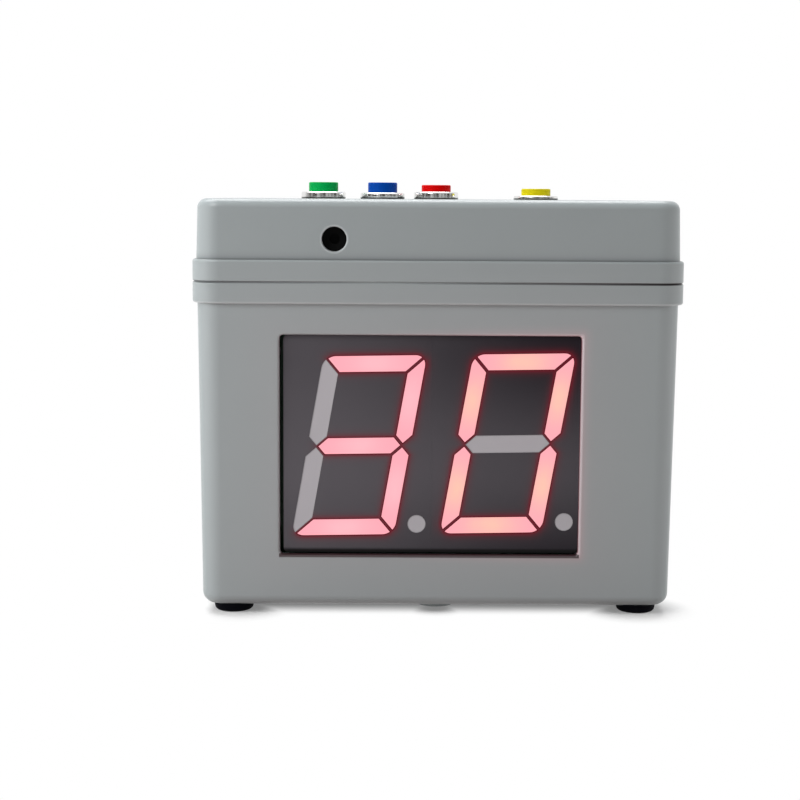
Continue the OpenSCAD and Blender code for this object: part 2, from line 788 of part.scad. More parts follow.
// Return spring between the web and the cap
module spring(i) {
    steps = spring_turns * spring_rings;
    r = spring_mean_d / 2;
    turns = [for (k = [0:steps]) 360 * k / spring_rings];
    start = seat_z + spring_clear + spring_wire / 2;
    color(steel) at_button(i) tube(
        [for (a = turns) [r * cos(a), r * sin(a), start + spring_pitch * a / 360]],
        [for (a = turns) [-2 * PI * r * sin(a), 2 * PI * r * cos(a), spring_pitch]],
        [for (a = turns) [cos(a), sin(a), 0]],
        spring_wire, lead_sides
    );
}

// Chromed bezel with its threaded barrel and the web that guides the plunger
module bezel(i) {
    guide_r = stem_d / 2 + stem_clear;
    color(chrome) at_button(i) rotate_extrude() polygon(concat(
        [[guide_r, -barrel_len], [thread_d / 2, -barrel_len], [thread_d / 2, 0], [bezel_d / 2, 0]],
        arc([bezel_d / 2 - bezel_round, bezel_h[i] - bezel_round], bezel_round, 0, 90, small_arc_steps),
        [[bore_d / 2, bezel_h[i]], [bore_d / 2, seat_z], [guide_r, seat_z]]
    ));
}

// Switch base under the barrel, with slots for its two terminals
module base(i) {
    color(black_plastic) at_button(i) difference() {
        translate([0, 0, base_foot_z]) cylinder(d = base_d, h = -barrel_len - base_foot_z);
        translate([0, 0, chamber_floor_z]) cylinder(d = chamber_d, h = -chamber_floor_z);
        for (side = [-1, 1]) translate([side * lug_x, 0, chamber_floor_z])
            cube([lug_t + 2 * lug_clear, lug_w + 2 * lug_clear, 3 * base_floor], center = true);
    }
}

module button_nuts() {
    flat_r = thread_d / 2 + nut_rim;
    color(steel) for (i = [0:len(button_x) - 1]) at_button(i)
        translate([0, 0, -wall - nut_h]) difference() {
            rotate(30) cylinder(r = flat_r / cos(30), h = nut_h, $fn = 6);
            translate([0, 0, -over]) cylinder(d = thread_d + 2 * nut_clear, h = nut_h + 2 * over);
        }
}

module button_terminals() {
    eye_d = lug_w / 2;
    color(brass) for (i = [0:len(button_x) - 1], side = [-1, 1])
        at_button(i) translate([side * lug_x, 0, 0]) difference() {
            union() {
                translate([-lug_pad_w / 2, -lug_w / 2, chamber_floor_z]) cube([lug_pad_w, lug_w, lug_pad_h]);
                translate([-lug_t / 2, -lug_w / 2, lug_foot_z])
                    cube([lug_t, lug_w, chamber_floor_z - lug_foot_z + lug_pad_h / 2]);
            }
            translate([-lug_t, 0, lug_foot_z + lug_w]) rotate([0, 90, 0]) cylinder(d = eye_d, h = 2 * lug_t);
        }
}

// Places of the two digit housings, left and right of the seam
function digit_x(k) = (k - 0.5) * (module_w + module_seam);

module at_digit(k) {
    translate([display_x + digit_x(k), 0, display_z]) children();
}

// Lays a digit on its housing's face: the pair is turned about the display's middle
module turned(k) {
    translate([digit_shift, digit_x(k) * sin(digit_turn)]) rotate(digit_turn) children();
}

// Segment outlines, upright and centred on the digit: a to g, then slanted
half_w = digit_w / 2;
half_h = digit_h / 2;
inner_w = half_w - segment_w;
inner_h = half_h - segment_w;
cut = segment_gap / sqrt(2);
mitre = asin(segment_gap / (2 * digit_round));
corner_mid = [half_w - digit_round, half_h - digit_round];

function flip(points, sx, sz) = [for (p = points) [sx * p[0], sz * p[1]]];

function top_segment() =
    let (
        corner = arc(corner_mid, digit_round, 90, 45 + mitre, small_arc_steps),
        right = concat(corner, [[inner_w - cut, inner_h]])
    )
    concat(right, [for (i = [len(right) - 1:-1:0]) [-right[i][0], right[i][1]]]);

function side_segment() = concat(
    arc(corner_mid, digit_round, 45 - mitre, 0, small_arc_steps),
    [[half_w, cut + segment_w / 2], [half_w - segment_w / 2, cut], [inner_w, cut + segment_w / 2]],
    [[inner_w, inner_h - cut]]
);

function middle_segment() =
    let (tip = half_w - segment_w / 2 - cut, shoulder = inner_w - cut, h = segment_w / 2)
    [[tip, 0], [shoulder, h], [-shoulder, h], [-tip, 0], [-shoulder, -h], [shoulder, -h]];

function segment(letter) =
    letter == "a" ? top_segment()
    : letter == "b" ? side_segment()
    : letter == "c" ? flip(side_segment(), 1, -1)
    : letter == "d" ? flip(top_segment(), 1, -1)
    : letter == "e" ? flip(side_segment(), -1, -1)
    : letter == "f" ? flip(side_segment(), -1, 1)
    : middle_segment();

lit_letters = ["abcdg", "abcdef"];
dark_letters = ["ef", "g"];

module segments(letters) {
    for (letter = letters)
        polygon([for (p = segment(letter)) [p[0] + p[1] * tan(slant), p[1]]]);
}

module dot() {
    translate([half_w + dot_offset, dot_rise - half_h]) circle(d = dot_d);
}

// Digit housing with its light wells open from front to back
module digit_housing(k) {
    color(face_grey) at_digit(k) difference() {
        upright(housing_back_y, module_depth) polygon(rounded_rectangle(module_w, module_h, window_round));
        upright(housing_back_y + over, module_depth + 2 * over) turned(k) {
            segments("abcdefg");
            dot();
        }
    }
}

module digit_lit_segments(k) {
    color(lit_red) at_digit(k) upright(housing_back_y, module_depth) turned(k) segments(lit_letters[k]);
}

module digit_dark_segments(k) {
    color(unlit_grey) at_digit(k) upright(housing_back_y, module_depth) turned(k) {
        segments(dark_letters[k]);
        dot();
    }
}

module pin_row_places() {
    for (row = [-1, 1], j = [0:pins_per_row - 1])
        translate([(j - (pins_per_row - 1) / 2) * pin_pitch, row * pin_row_z]) children();
}

module digit_led_board(k) {
    color(board_green) at_digit(k) upright(board_front_y, led_board_t) difference() {
        square([module_w - 2 * led_board_inset, module_h - 2 * led_board_inset], center = true);
        pin_row_places() circle(d = pin_d + 2 * pin_clear);
    }
}

module digit_pins(k) {
    color(steel) at_digit(k) upright(board_back_y + pin_tail, led_board_t + board_t + pin_tail)
        pin_row_places() circle(d = pin_d);
}

module main_board() {
    color(board_green) difference() {
        translate([display_x, 0, display_z]) upright(board_back_y, board_t)
            polygon(rounded_rectangle(board_w, board_h, board_round));
        at_bosses() upright(board_back_y + over, board_t + 2 * over)
            circle(d = board_screw_d + 2 * screw_clear);
        for (k = [0, 1]) at_digit(k) upright(board_back_y + over, board_t + 2 * over)
            pin_row_places() circle(d = pin_d + 2 * pin_clear);
    }
}

module board_screws() {
    color(steel) at_bosses() translate([0, board_back_y, 0]) rotate([-90, 0, 0])
        screw(board_screw_d, board_screw_len, board_head_d, board_head_h);
}

// Puts a part on the back of the main board, with its height towards the back
module on_board(x, z) {
    translate([display_x + x, board_back_y, display_z + z]) rotate([-90, 0, 0]) children();
}

// Chip lying on its legs
module chip(length, width, height, legs) {
    lift = leg_w / 2;
    leg_y = (width + leg_reach) / 2;
    translate([-length / 2, -width / 2, lift]) cube([length, width, height - lift]);
    for (side = [-1, 1], j = [0:legs - 1])
        translate([(j - (legs - 1) / 2) * leg_pitch - leg_w / 2, side * leg_y - leg_reach / 2, 0])
            union() {
                cube([leg_w, leg_reach, leg_w]);
                translate([0, side > 0 ? -leg_w : 0, 0]) cube([leg_w, leg_reach + leg_w, height / 2]);
            }
}

module controller_chip() {
    color(black_plastic) on_board(0, 0) chip(chip_len, chip_w, chip_h, chip_legs);
}

module driver_chips() {
    color(black_plastic) for (side = [-1, 1])
        on_board(side * driver_x, 0) chip(driver_len, driver_w, driver_h, driver_legs);
}

module resistors() {
    row_z = driver_w + resistor_len + leg_reach;
    color(black_plastic) for (side = [-1, 1], j = [0:resistor_count - 1])
        on_board(side * driver_x + (j - (resistor_count - 1) / 2) * resistor_pitch, row_z)
            translate([-resistor_w / 2, -resistor_len / 2, 0]) cube([resistor_w, resistor_len, resistor_h]);
}

module capacitors() {
    r = can_d / 2;
    row_z = -(chip_w / 2 + leg_reach + can_d);
    color(steel) for (side = [-1, 1]) on_board(side * can_x, row_z) rotate_extrude() polygon(concat(
        [[0, 0], [r, 0]],
        arc([r - can_round, can_h - can_round], can_round, 0, 90, small_arc_steps),
        [[0, can_h]]
    ));
}

function plug_w(n) = (n - 1) * lead_pitch + 2 * plug_margin;

module lead_sockets() {
    color(white_nylon) for (s = [0:len(socket_places) - 1]) {
        w = plug_w(socket_leads[s]) + 2 * plug_clear;
        h = plug_h + 2 * plug_clear;
        on_board(socket_places[s][0], socket_places[s][1]) difference() {
            translate([-w / 2 - socket_wall, -h / 2 - socket_wall, 0])
                cube([w + 2 * socket_wall, h + 2 * socket_wall, socket_len]);
            translate([-w / 2, -h / 2, socket_floor]) cube([w, h, socket_len]);
        }
    }
}

module lead_plugs() {
    color(white_nylon) for (s = [0:len(socket_places) - 1]) {
        w = plug_w(socket_leads[s]);
        on_board(socket_places[s][0], socket_places[s][1])
            translate([-w / 2, -plug_h / 2, socket_floor]) cube([w, plug_h, plug_len]);
    }
}

// Middle of a lead where it leaves its plug
function lead_start(s, j) = [
    display_x + socket_places[s][0] + (j - (socket_leads[s] - 1) / 2) * lead_pitch,
    plug_back_y,
    display_z + socket_places[s][1]
];

// Lead that leaves its two ends square and bends smoothly between them
module lead(from, from_way, to, to_way, side) {
    a = from;
    b = from + lead_reach * from_way;
    c = to + lead_reach * to_way;
    d = to;
    steps = [for (i = [0:lead_rings - 1]) i / (lead_rings - 1)];
    middles = [
        for (t = steps) let (u = 1 - t) u * u * u * a + 3 * u * u * t * b + 3 * u * t * t * c + t * t * t * d
    ];
    tangents = [
        for (t = steps) (1 - t) * (1 - t) * (b - a) + 2 * t * (1 - t) * (c - b) + t * t * (d - c)
    ];
    tube(
        middles,
        tangents,
        [for (t = tangents) let (n = cross(t, side)) n / norm(n)],
        lead_d, lead_sides
    );
}

module button_leads() {
    color(lead_grey) for (i = [0:len(button_x) - 1], side = [0, 1])
        lead(
            lead_start(0, 2 * i + side), [0, 1, 0],
            [button_x[i] + (2 * side - 1) * lug_x, button_y, top_z + lug_foot_z], [0, 0, -1],
            [1, 0, 0]
        );
}

module buzzer_leads() {
    color(lead_red) for (side = [0, 1])
        lead(
            lead_start(1, side), [0, 1, 0],
            [sound_x + (side - 0.5) * buzzer_pin_pitch, buzzer_back_y + buzzer_pin_len, buzzer_z], [0, 1, 0],
            [1, 0, 0]
        );
}

// Contact tabs on the holder's front wall, where the battery leads start
function tab_x(side) = (side - 0.5) * holder_in_w / 2;
tab_y = holder_y - holder_len / 2;
tab_z = holder_top_z + holder_wall_h / 2;

module battery_leads() {
    color(lead_red) for (side = [0, 1])
        lead(
            lead_start(2, side), [0, 1, 0],
            [tab_x(side), tab_y - plate_t, tab_z], [0, -1, 0],
            [0, 0, 1]
        );
}

module buzzer_case() {
    color(black_plastic) translate([sound_x, buzzer_y, buzzer_z]) rotate([-90, 0, 0]) difference() {
        cylinder(d = buzzer_d, h = buzzer_len);
        translate([0, 0, -over]) cylinder(d = buzzer_port_d, h = buzzer_port_depth + over);
    }
}

module buzzer_pins() {
    color(steel) for (side = [0, 1])
        translate([sound_x + (side - 0.5) * buzzer_pin_pitch, buzzer_back_y, buzzer_z])
            rotate([-90, 0, 0]) cylinder(d = pin_d, h = buzzer_pin_len);
}

function cell_x(j) = j * cell_pitch - cell_row / 2;

module at_cell(j) {
    way = j % 2 == 0 ? 1 : -1;
    translate([cell_x(j), holder_y, cell_z]) rotate([-90 * way, 0, 0]) children();
}

// Tray with end walls, side walls and cradle ribs for the cells
module battery_holder() {
    color(black_plastic) difference() {
        translate([-holder_w / 2, holder_y - holder_len / 2, holder_z])
            cube([holder_w, holder_len, holder_floor + holder_wall_h]);
        for (k = [-1, 0, 1])
            translate([-holder_in_w / 2, holder_y + pocket_mid(k) - pocket_len(k) / 2, holder_top_z])
                cube([holder_in_w, pocket_len(k), holder_wall_h + over]);
        translate([-holder_in_w / 2, holder_y - holder_in_len / 2, holder_top_z + cradle_h])
            cube([holder_in_w, holder_in_len, holder_wall_h]);
        for (j = [0:cell_count - 1]) translate([cell_x(j), holder_y - holder_in_len / 2, cell_z])
            rotate([-90, 0, 0]) cylinder(d = cell_d + 2 * cell_clear, h = holder_in_len);
        at_holder_bosses() translate([0, 0, holder_z - over])
            cylinder(d = holder_screw_d + 2 * screw_clear, h = holder_floor + 2 * over);
    }
}

// Pockets in front of, between and behind the two cradle ribs
function pocket_len(k) =
    k == 0 ? 2 * cradle_y - cradle_t : holder_in_len / 2 - cradle_y - cradle_t / 2;
function pocket_mid(k) =
    k * (holder_in_len / 2 + cradle_y + cradle_t / 2) / 2;

module battery_cells() {
    color(cell_green) for (j = [0:cell_count - 1]) at_cell(j)
        translate([0, 0, -(cell_len + cell_button_h) / 2]) union() {
            cylinder(d = cell_d, h = cell_len);
            cylinder(d = cell_button_d, h = cell_len + cell_button_h);
        }
}

// Contact plates at both ends of every cell, and the two tabs for the leads
module battery_contacts() {
    color(steel) {
        for (j = [0:cell_count - 1], end = [0, 180]) at_cell(j) rotate([end, 0, 0])
            translate([0, 0, -holder_in_len / 2]) union() {
                translate([-plate_w / 2, -plate_h / 2, 0]) cube([plate_w, plate_h, plate_t]);
                cylinder(d = plate_boss_d, h = contact_depth);
            }
        for (side = [0, 1]) translate([tab_x(side) - plate_w / 4, tab_y - plate_t, tab_z - plate_w / 4])
            cube([plate_w / 2, plate_t, plate_w / 2]);
    }
}

module holder_screws() {
    color(steel) at_holder_bosses() translate([0, 0, holder_top_z])
        screw(holder_screw_d, holder_screw_len, holder_head_d, holder_head_h);
}

body_shell();
lid_shell();
lid_gasket();
lid_screws();
rubber_feet();
for (i = [0:len(button_names) - 1]) {
    cap(i);
    plunger(i);
    contact(i);
    spring(i);
    bezel(i);
    base(i);
}
button_nuts();
button_terminals();
for (k = [0, 1]) {
    digit_housing(k);
    digit_lit_segments(k);
    digit_dark_segments(k);
    digit_led_board(k);
    digit_pins(k);
}
main_board();
board_screws();
controller_chip();
driver_chips();
resistors();
capacitors();
lead_sockets();
lead_plugs();
button_leads();
buzzer_leads();
battery_leads();
buzzer_case();
buzzer_pins();
battery_holder();
battery_cells();
battery_contacts();
holder_screws();
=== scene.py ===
import math

import bmesh
import bpy
import numpy as np
from mathutils import Matrix, Vector


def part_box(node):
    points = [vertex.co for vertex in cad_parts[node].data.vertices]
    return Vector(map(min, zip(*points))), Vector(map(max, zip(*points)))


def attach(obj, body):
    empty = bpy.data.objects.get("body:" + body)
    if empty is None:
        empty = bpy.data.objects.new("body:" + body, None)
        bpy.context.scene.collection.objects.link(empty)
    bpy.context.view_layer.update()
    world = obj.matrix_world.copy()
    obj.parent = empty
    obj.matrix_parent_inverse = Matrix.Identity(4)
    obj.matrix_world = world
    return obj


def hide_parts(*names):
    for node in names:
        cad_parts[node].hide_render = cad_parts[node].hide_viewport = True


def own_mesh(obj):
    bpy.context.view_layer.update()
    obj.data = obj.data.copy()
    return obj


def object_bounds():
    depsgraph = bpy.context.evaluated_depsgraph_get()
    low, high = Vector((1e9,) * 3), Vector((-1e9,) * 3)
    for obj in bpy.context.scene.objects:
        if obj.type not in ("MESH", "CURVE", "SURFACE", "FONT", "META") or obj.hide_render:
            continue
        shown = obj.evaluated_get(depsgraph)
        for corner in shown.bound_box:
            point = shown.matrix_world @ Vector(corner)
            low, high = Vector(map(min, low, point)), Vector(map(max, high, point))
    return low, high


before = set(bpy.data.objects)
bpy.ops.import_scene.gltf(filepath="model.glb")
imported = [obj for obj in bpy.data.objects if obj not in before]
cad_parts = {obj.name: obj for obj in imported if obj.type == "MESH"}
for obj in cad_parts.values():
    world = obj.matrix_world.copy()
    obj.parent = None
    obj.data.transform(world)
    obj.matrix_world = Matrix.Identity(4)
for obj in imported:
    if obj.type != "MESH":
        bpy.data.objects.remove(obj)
cad_low, cad_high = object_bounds()


# Camera: a product shot from in front, a little left of the middle and level with the lid. It looks
# slightly down, and the box stands a little right of the picture's middle.
MM = 0.001
PICTURE_PIXELS = 800
FOCAL_PIXELS = 1662
STAND_OFF = 400 * MM
EYE_X = -13 * MM
EYE_HEIGHT = 103 * MM
LOOK_DOWN = math.radians(6.97)
LOOK_RIGHT = math.radians(0.54)
LEAN = math.radians(0.37)

scene = bpy.context.scene
scene.view_settings.view_transform = "Standard"
lens = bpy.data.cameras.new("front_camera")
lens.lens = lens.sensor_width * FOCAL_PIXELS / PICTURE_PIXELS
camera = bpy.data.objects.new("front_camera", lens)
camera.location = (EYE_X, cad_low.y - STAND_OFF, EYE_HEIGHT)
tilt = Matrix.Rotation(math.pi / 2 - LOOK_DOWN, 3, "X")
aim = Matrix.Rotation(-LOOK_RIGHT, 3, "Z") @ tilt @ Matrix.Rotation(LEAN, 3, "Z")
camera.rotation_euler = aim.to_euler()
scene.collection.objects.link(camera)
scene.camera = camera


# Stage: a white paper floor under a white sky, lit by a large soft box overhead, a key light at the upper
# left and low boxes at both sides, which mirrors don't show. To the eye the paper is plain white, with a
# soft shadow under the body, the pad and the feet. Polished pieces mirror a dim room behind the camera.
class Value:
    """A socket of a node tree. Arithmetic on it adds Math nodes, and node() adds any other node."""

    def __init__(self, tree, socket=None):
        self.tree = tree
        self.socket = socket

    def node(self, kind, settings=None, inputs=None, output=0):
        made = self.tree.nodes.new(kind)
        for name, setting in (settings or {}).items():
            setattr(made, name, setting)
        for name, value in (inputs or {}).items():
            if isinstance(value, Value):
                self.tree.links.new(value.socket, made.inputs[name])
            else:
                made.inputs[name].default_value = value
        return Value(self.tree, made.outputs[output] if made.outputs else None)

    def out(self, name):
        """Another output of the same node."""
        return Value(self.tree, self.socket.node.outputs[name])

    def math(self, operation, *others):
        return self.node("ShaderNodeMath", {"operation": operation}, dict(enumerate((self, *others))))

    def __add__(self, other):
        return self.math("ADD", other)

    __radd__ = __add__

    def __mul__(self, other):
        return self.math("MULTIPLY", other)

    __rmul__ = __mul__

    def __sub__(self, other):
        return self.math("SUBTRACT", other)

    def __rsub__(self, other):
        return self.node("ShaderNodeMath", {"operation": "SUBTRACT"}, {0: other, 1: self})

    def between(self, low, high):
        """The number that goes from low to high as this value goes from 0 to 1."""
        return self * (high - low) + low

    def colour(self, low, high):
        """The colour that goes from low to high as this value goes from 0 to 1."""
        return self.node("ShaderNodeMix", {"data_type": "RGBA"}, {0: self, 6: low, 7: high}, 2)

    def ramp(self, start, end):
        """A smooth step from 0, where this value is at the start, to 1, where it is at the end."""
        settings = {"Value": self, "From Min": start, "From Max": end}
        return self.node("ShaderNodeMapRange", {"interpolation_type": "SMOOTHSTEP"}, settings)

    def fall(self, reach):
        """A number that dies away from 1, where this value is 0, to about a third over the reach."""
        return (self * (-1 / reach)).math("EXPONENT")

    def diagonal(self, other):
        """The length of the diagonal whose two sides are this value and another one."""
        return (self * self + other * other).math("SQRT")

    def axis(self, name):
        """One coordinate of this vector."""
        return self.node("ShaderNodeSeparateXYZ", {}, {0: self}, name)

    def noise(self, scale, detail):
        """A cloudy pattern over these coordinates."""
        return self.node("ShaderNodeTexNoise", {}, {"Vector": self, "Scale": scale, "Detail": detail})

    def bump(self, depth):
        """A surface direction that stands up by the depth where this value is 1."""
        return self.node("ShaderNodeBump", {}, {"Strength": 1.0, "Distance": depth, "Height": self})


def seen_directly(tree):
    """1 for rays that the eye, a mirror or glass sends out, and 0 for rays that light the surfaces."""
    path = tree.node("ShaderNodeLightPath", output="Is Camera Ray")
    sent = path + path.out("Is Glossy Ray") + path.out("Is Transmission Ray")
    return sent.math("MINIMUM", 1.0)


def start_material(name):
    """A new material with its empty node tree and the object's own coordinates."""
    material = bpy.data.materials.new(name)
    material.use_nodes = True
    material.node_tree.nodes.clear()
    tree = Value(material.node_tree)
    return material, tree, tree.node("ShaderNodeTexCoord", output="Object")


SKY_LIGHT = 0.22
WHITE = (1.0, 1.0, 1.0, 1.0)
ROOM_GLOSS = (0.045, 0.038, 0.030, 1.0)
ROOM_BEHIND = (0.45, -0.15)
ROOM_LEVEL = (0.55, 0.2)
ROOM_CLUTTER = (0.42, 0.56)
ROOM_THINNEST = 0.5

world = bpy.data.worlds.new("studio")
scene.world = world
world.use_nodes = True
world.node_tree.nodes.clear()
sky = Value(world.node_tree)
towards = sky.node("ShaderNodeTexCoord", output="Generated")
behind_eye = towards.axis("Y").ramp(*ROOM_BEHIND)
level = towards.axis("Z").math("ABSOLUTE").ramp(*ROOM_LEVEL)
clutter = towards.noise(scale=4.0, detail=1.5).ramp(*ROOM_CLUTTER).between(ROOM_THINNEST, 1.0)
glossy = sky.node("ShaderNodeLightPath", output="Is Glossy Ray")
room = (behind_eye * level * clutter * glossy).colour(WHITE, ROOM_GLOSS)
sky_strength = seen_directly(sky).between(SKY_LIGHT, 1.0)
backdrop = sky.node("ShaderNodeBackground", {}, {"Color": room, "Strength": sky_strength})
sky.node("ShaderNodeOutputWorld", {}, {"Surface": backdrop})

FLOOR_HALF = 4.0
PAPER_SEEN = (0.95, 0.95, 0.95, 1.0)
PAPER_BOUNCE = (0.44, 0.39, 0.375, 1.0)
SHADOW_DEPTH = 0.8
UNDER_BODY = (46 * MM, 58 * MM)
FOOT_D = 10 * MM
ROUND_FOOT = (6 * MM, 16 * MM)
PAD_SETBACK = 10.5 * MM
ROUND_PAD = (2 * MM, 10 * MM)

floor_mesh = bpy.data.meshes.new("paper_floor")
floor_corners = [(x * FLOOR_HALF, y * FLOOR_HALF, 0) for x, y in ((-1, -1), (1, -1), (1, 1), (-1, 1))]
floor_mesh.from_pydata(floor_corners, [], [(0, 1, 2, 3)])
floor = bpy.data.objects.new("paper_floor", floor_mesh)
scene.collection.objects.link(floor)
paper, sheet, spot = start_material("white_paper")
off_x = spot.axis("X").math("ABSOLUTE")
off_y = spot.axis("Y").math("ABSOLUTE")
foot_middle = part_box("rubber_feet")[1].x - FOOT_D / 2
from_foot = (off_x - foot_middle).diagonal(off_y - foot_middle)
from_pad = off_x.diagonal(spot.axis("Y") - (cad_low.y + PAD_SETBACK))
clear_of_feet = from_foot.ramp(*ROUND_FOOT).math("MINIMUM", from_pad.ramp(*ROUND_PAD))
clear_of_body = off_x.math("MAXIMUM", off_y).ramp(*UNDER_BODY)
unshaded = clear_of_body.math("MINIMUM", clear_of_feet).between(1 - SHADOW_DEPTH, 1.0)
looked_at = seen_directly(sheet)
lit_paper = sheet.node("ShaderNodeBsdfDiffuse", {}, {"Color": looked_at.colour(PAPER_BOUNCE, PAPER_SEEN)})
white_paper = sheet.node("ShaderNodeEmission", {}, {"Color": WHITE, "Strength": 1.0})
paper_skin = sheet.node("ShaderNodeMixShader", {}, {0: looked_at * unshaded, 1: lit_paper, 2: white_paper})
sheet.node("ShaderNodeOutputMaterial", {}, {"Surface": paper_skin})
floor_mesh.materials.append(paper)

middle = (cad_low + cad_high) / 2


def soft_box(name, place, width, height, power, mirrored=True):
    """A rectangular lamp that faces the middle of the object, and may be kept out of mirrors."""
    lamp = bpy.data.lights.new(name, "AREA")
    lamp.shape = "RECTANGLE"
    lamp.size = width
    lamp.size_y = height
    lamp.energy = power
    stand = bpy.data.objects.new(name, lamp)
    stand.location = place
    stand.visible_glossy = mirrored
    stand.rotation_euler = (middle - Vector(place)).to_track_quat("-Z", "Y").to_euler()
    scene.collection.objects.link(stand)


soft_box("overhead_box", place=(-0.10, 0.24, 0.80), width=0.9, height=0.56, power=8.0)
soft_box("key_box", place=(-0.30, -0.40, 0.42), width=0.25, height=0.25, power=1.26)
soft_box("left_box", place=(-0.38, -0.15, 0.06), width=0.34, height=0.34, power=1.42, mirrored=False)
soft_box("right_box", place=(0.40, -0.06, 0.04), width=0.34, height=0.34, power=0.9, mirrored=False)


# Body: the lower half of the case, moulded in grey plastic with drafted walls, a flange round its rim and
# a window in its front. Painted shade darkens its creases, painted highlights lighten some edges, and the
# digits' red light is painted on the window's surround as a glow, most at the right.
SHARP = math.radians(32)
FLAT = math.radians(0.3)
WELD = 0.002 * MM


def end_material(tree, sockets):
    skin = tree.node("ShaderNodeBsdfPrincipled", {}, sockets)
    tree.node("ShaderNodeOutputMaterial", {}, {"Surface": skin})


def copy_of(node, name):
    """A welded copy of a solid's mesh with its flat faces whole, to be refined as a piece of its own."""
    mesh = bpy.data.meshes.new(name)
    bm = bmesh.new()
    bm.from_mesh(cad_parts[node].data)
    bmesh.ops.remove_doubles(bm, verts=bm.verts, dist=WELD)
    bmesh.ops.dissolve_limit(bm, angle_limit=FLAT, verts=bm.verts, edges=bm.edges)
    bm.to_mesh(mesh)
    bm.free()
    piece = bpy.data.objects.new(name, mesh)
    scene.collection.objects.link(piece)
    return piece


def round_edges(piece, radius, picks):
    """Rounds the sharp edges whose middle the test picks."""
    bm = bmesh.new()
    bm.from_mesh(piece.data)
    sharp = [e for e in bm.edges if len(e.link_faces) == 2 and e.calc_face_angle() > SHARP]
    picked = [e for e in sharp if picks((e.verts[0].co + e.verts[1].co) / 2)]
    bmesh.ops.bevel(
        bm, geom=picked, offset=radius, segments=3, profile=0.5, affect="EDGES", clamp_overlap=True
    )
    bm.to_mesh(piece.data)
    bm.free()


def shade(piece):
    """Shades the rounds smoothly, keeps true edges sharp and leaves large flat faces flat."""
    mesh = piece.data
    if "custom_normal" in mesh.attributes:
        mesh.attributes.remove(mesh.attributes["custom_normal"])
    bm = bmesh.new()
    bm.from_mesh(mesh)
    for face in bm.faces:
        face.smooth = True
    for edge in bm.edges:
        edge.smooth = len(edge.link_faces) == 2 and edge.calc_face_angle() < SHARP
    bm.to_mesh(mesh)
    bm.free()
    weighted = piece.modifiers.new("even_normals", "WEIGHTED_NORMAL")
    weighted.keep_sharp = True
    weighted.weight = 100


def seat(piece, body, node, slot, *materials):
    """Puts a piece in the place of a solid on its body, with these materials if it has none yet."""
    if not piece.data.materials:
        for material in materials:
            piece.data.materials.append(material)
    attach(piece, body)
    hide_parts(node)


DISPLAY_CLEAR = 0.12 * MM
DISPLAY_SHIFT_X = 0.4 * MM
DISPLAY_SHIFT_Z = 0.25 * MM
# The outer skin of the front, with the edges of its openings, lies before this depth
FRONT_SKIN = -56.6 * MM
BODY_LIP = 5.2 * MM
LID_LIP = 5.4 * MM
HOLE_R = 3.0 * MM
ON_FACE = 0.02 * MM

display_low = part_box("left_digit_housing")[0]
display_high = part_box("right_digit_housing")[1]
window_x = (display_low.x + display_high.x) / 2 - DISPLAY_SHIFT_X
window_z = (display_low.z + display_high.z) / 2 - DISPLAY_SHIFT_Z
window_half_w = (display_high.x - display_low.x) / 2 + DISPLAY_SHIFT_X + DISPLAY_CLEAR
window_half_h = (display_high.z - display_low.z) / 2 + DISPLAY_SHIFT_Z + DISPLAY_CLEAR
lid_low, lid_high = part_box("lid_shell")
parting_z = lid_low.z
lid_top = lid_high.z
sounder_low, sounder_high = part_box("buzzer_case")
hole = (sounder_low + sounder_high) / 2

CASE_COLOUR = ((0.312, 0.350, 0.358, 1.0), (0.322, 0.360, 0.368, 1.0))
CASE_ROUGHNESS = (0.29, 0.33)
CASE_GRAIN = 0.004 * MM
BLACK = (0.0, 0.0, 0.0, 1.0)

case_plastic, case_tree, case_place = start_material("grey_case_plastic")
case_cloud = case_place.noise(scale=65.0, detail=1.0)
case_speck = case_place.noise(scale=2600.0, detail=2.0)
case_x = case_place.axis("X")
case_z = case_place.axis("Z")
on_front = case_place.axis("Y").math("LESS_THAN", FRONT_SKIN)
beside = ((case_x - window_x).math("ABSOLUTE") - window_half_w).math("MAXIMUM", 0.0)
beyond = ((case_z - window_z).math("ABSOLUTE") - window_half_h).math("MAXIMUM", 0.0)
from_window = beside.diagonal(beyond)

# Painted shade: the colour the case darkens towards where shade falls in its creases and gaps.
PAINTED_SHADE = (0.012, 0.012, 0.013, 1.0)
CREASE_REACH = 0.6 * MM
CREASE_DEPTH = 0.5
PARTING_LINE = (0.36 * MM, 0.18 * MM)
LIGHTEST_LINE_X = -15 * MM
DARKEST_LINE_REACH = 75 * MM
LEDGE_LINE = (0.8 * MM, 0.4 * MM)
LEDGE_LIP = 0.3 * MM
LEDGE_SIDE = 0.2 * MM
LEDGE_SHADE = 0.95

# Painted shade in the crease above the flange's ledge, dying away upwards.
above_ledge = case_z - (parting_z + LID_LIP)
crease_shade = above_ledge.fall(CREASE_REACH) * above_ledge.math("GREATER_THAN", -ON_FACE) * CREASE_DEPTH
# Painted shade in the parting line's gap, darker away from a point left of the middle.
line_shade_share = ((case_x - LIGHTEST_LINE_X).math("ABSOLUTE") * (1 / DARKEST_LINE_REACH)).math("MINIMUM", 1.0)
parting_shade = (case_z - parting_z).math("ABSOLUTE").ramp(*PARTING_LINE) * line_shade_share
# Painted shade along the window's lower edge, which faces up.
below = (window_z - window_half_h) - case_z
on_ledge = below.math("GREATER_THAN", -LEDGE_LIP) * beside.math("LESS_THAN", LEDGE_SIDE) * on_front
ledge_shade = below.ramp(*LEDGE_LINE) * on_ledge * LEDGE_SHADE
painted_shade = crease_shade.math("MAXIMUM", parting_shade).math("MAXIMUM", ledge_shade)

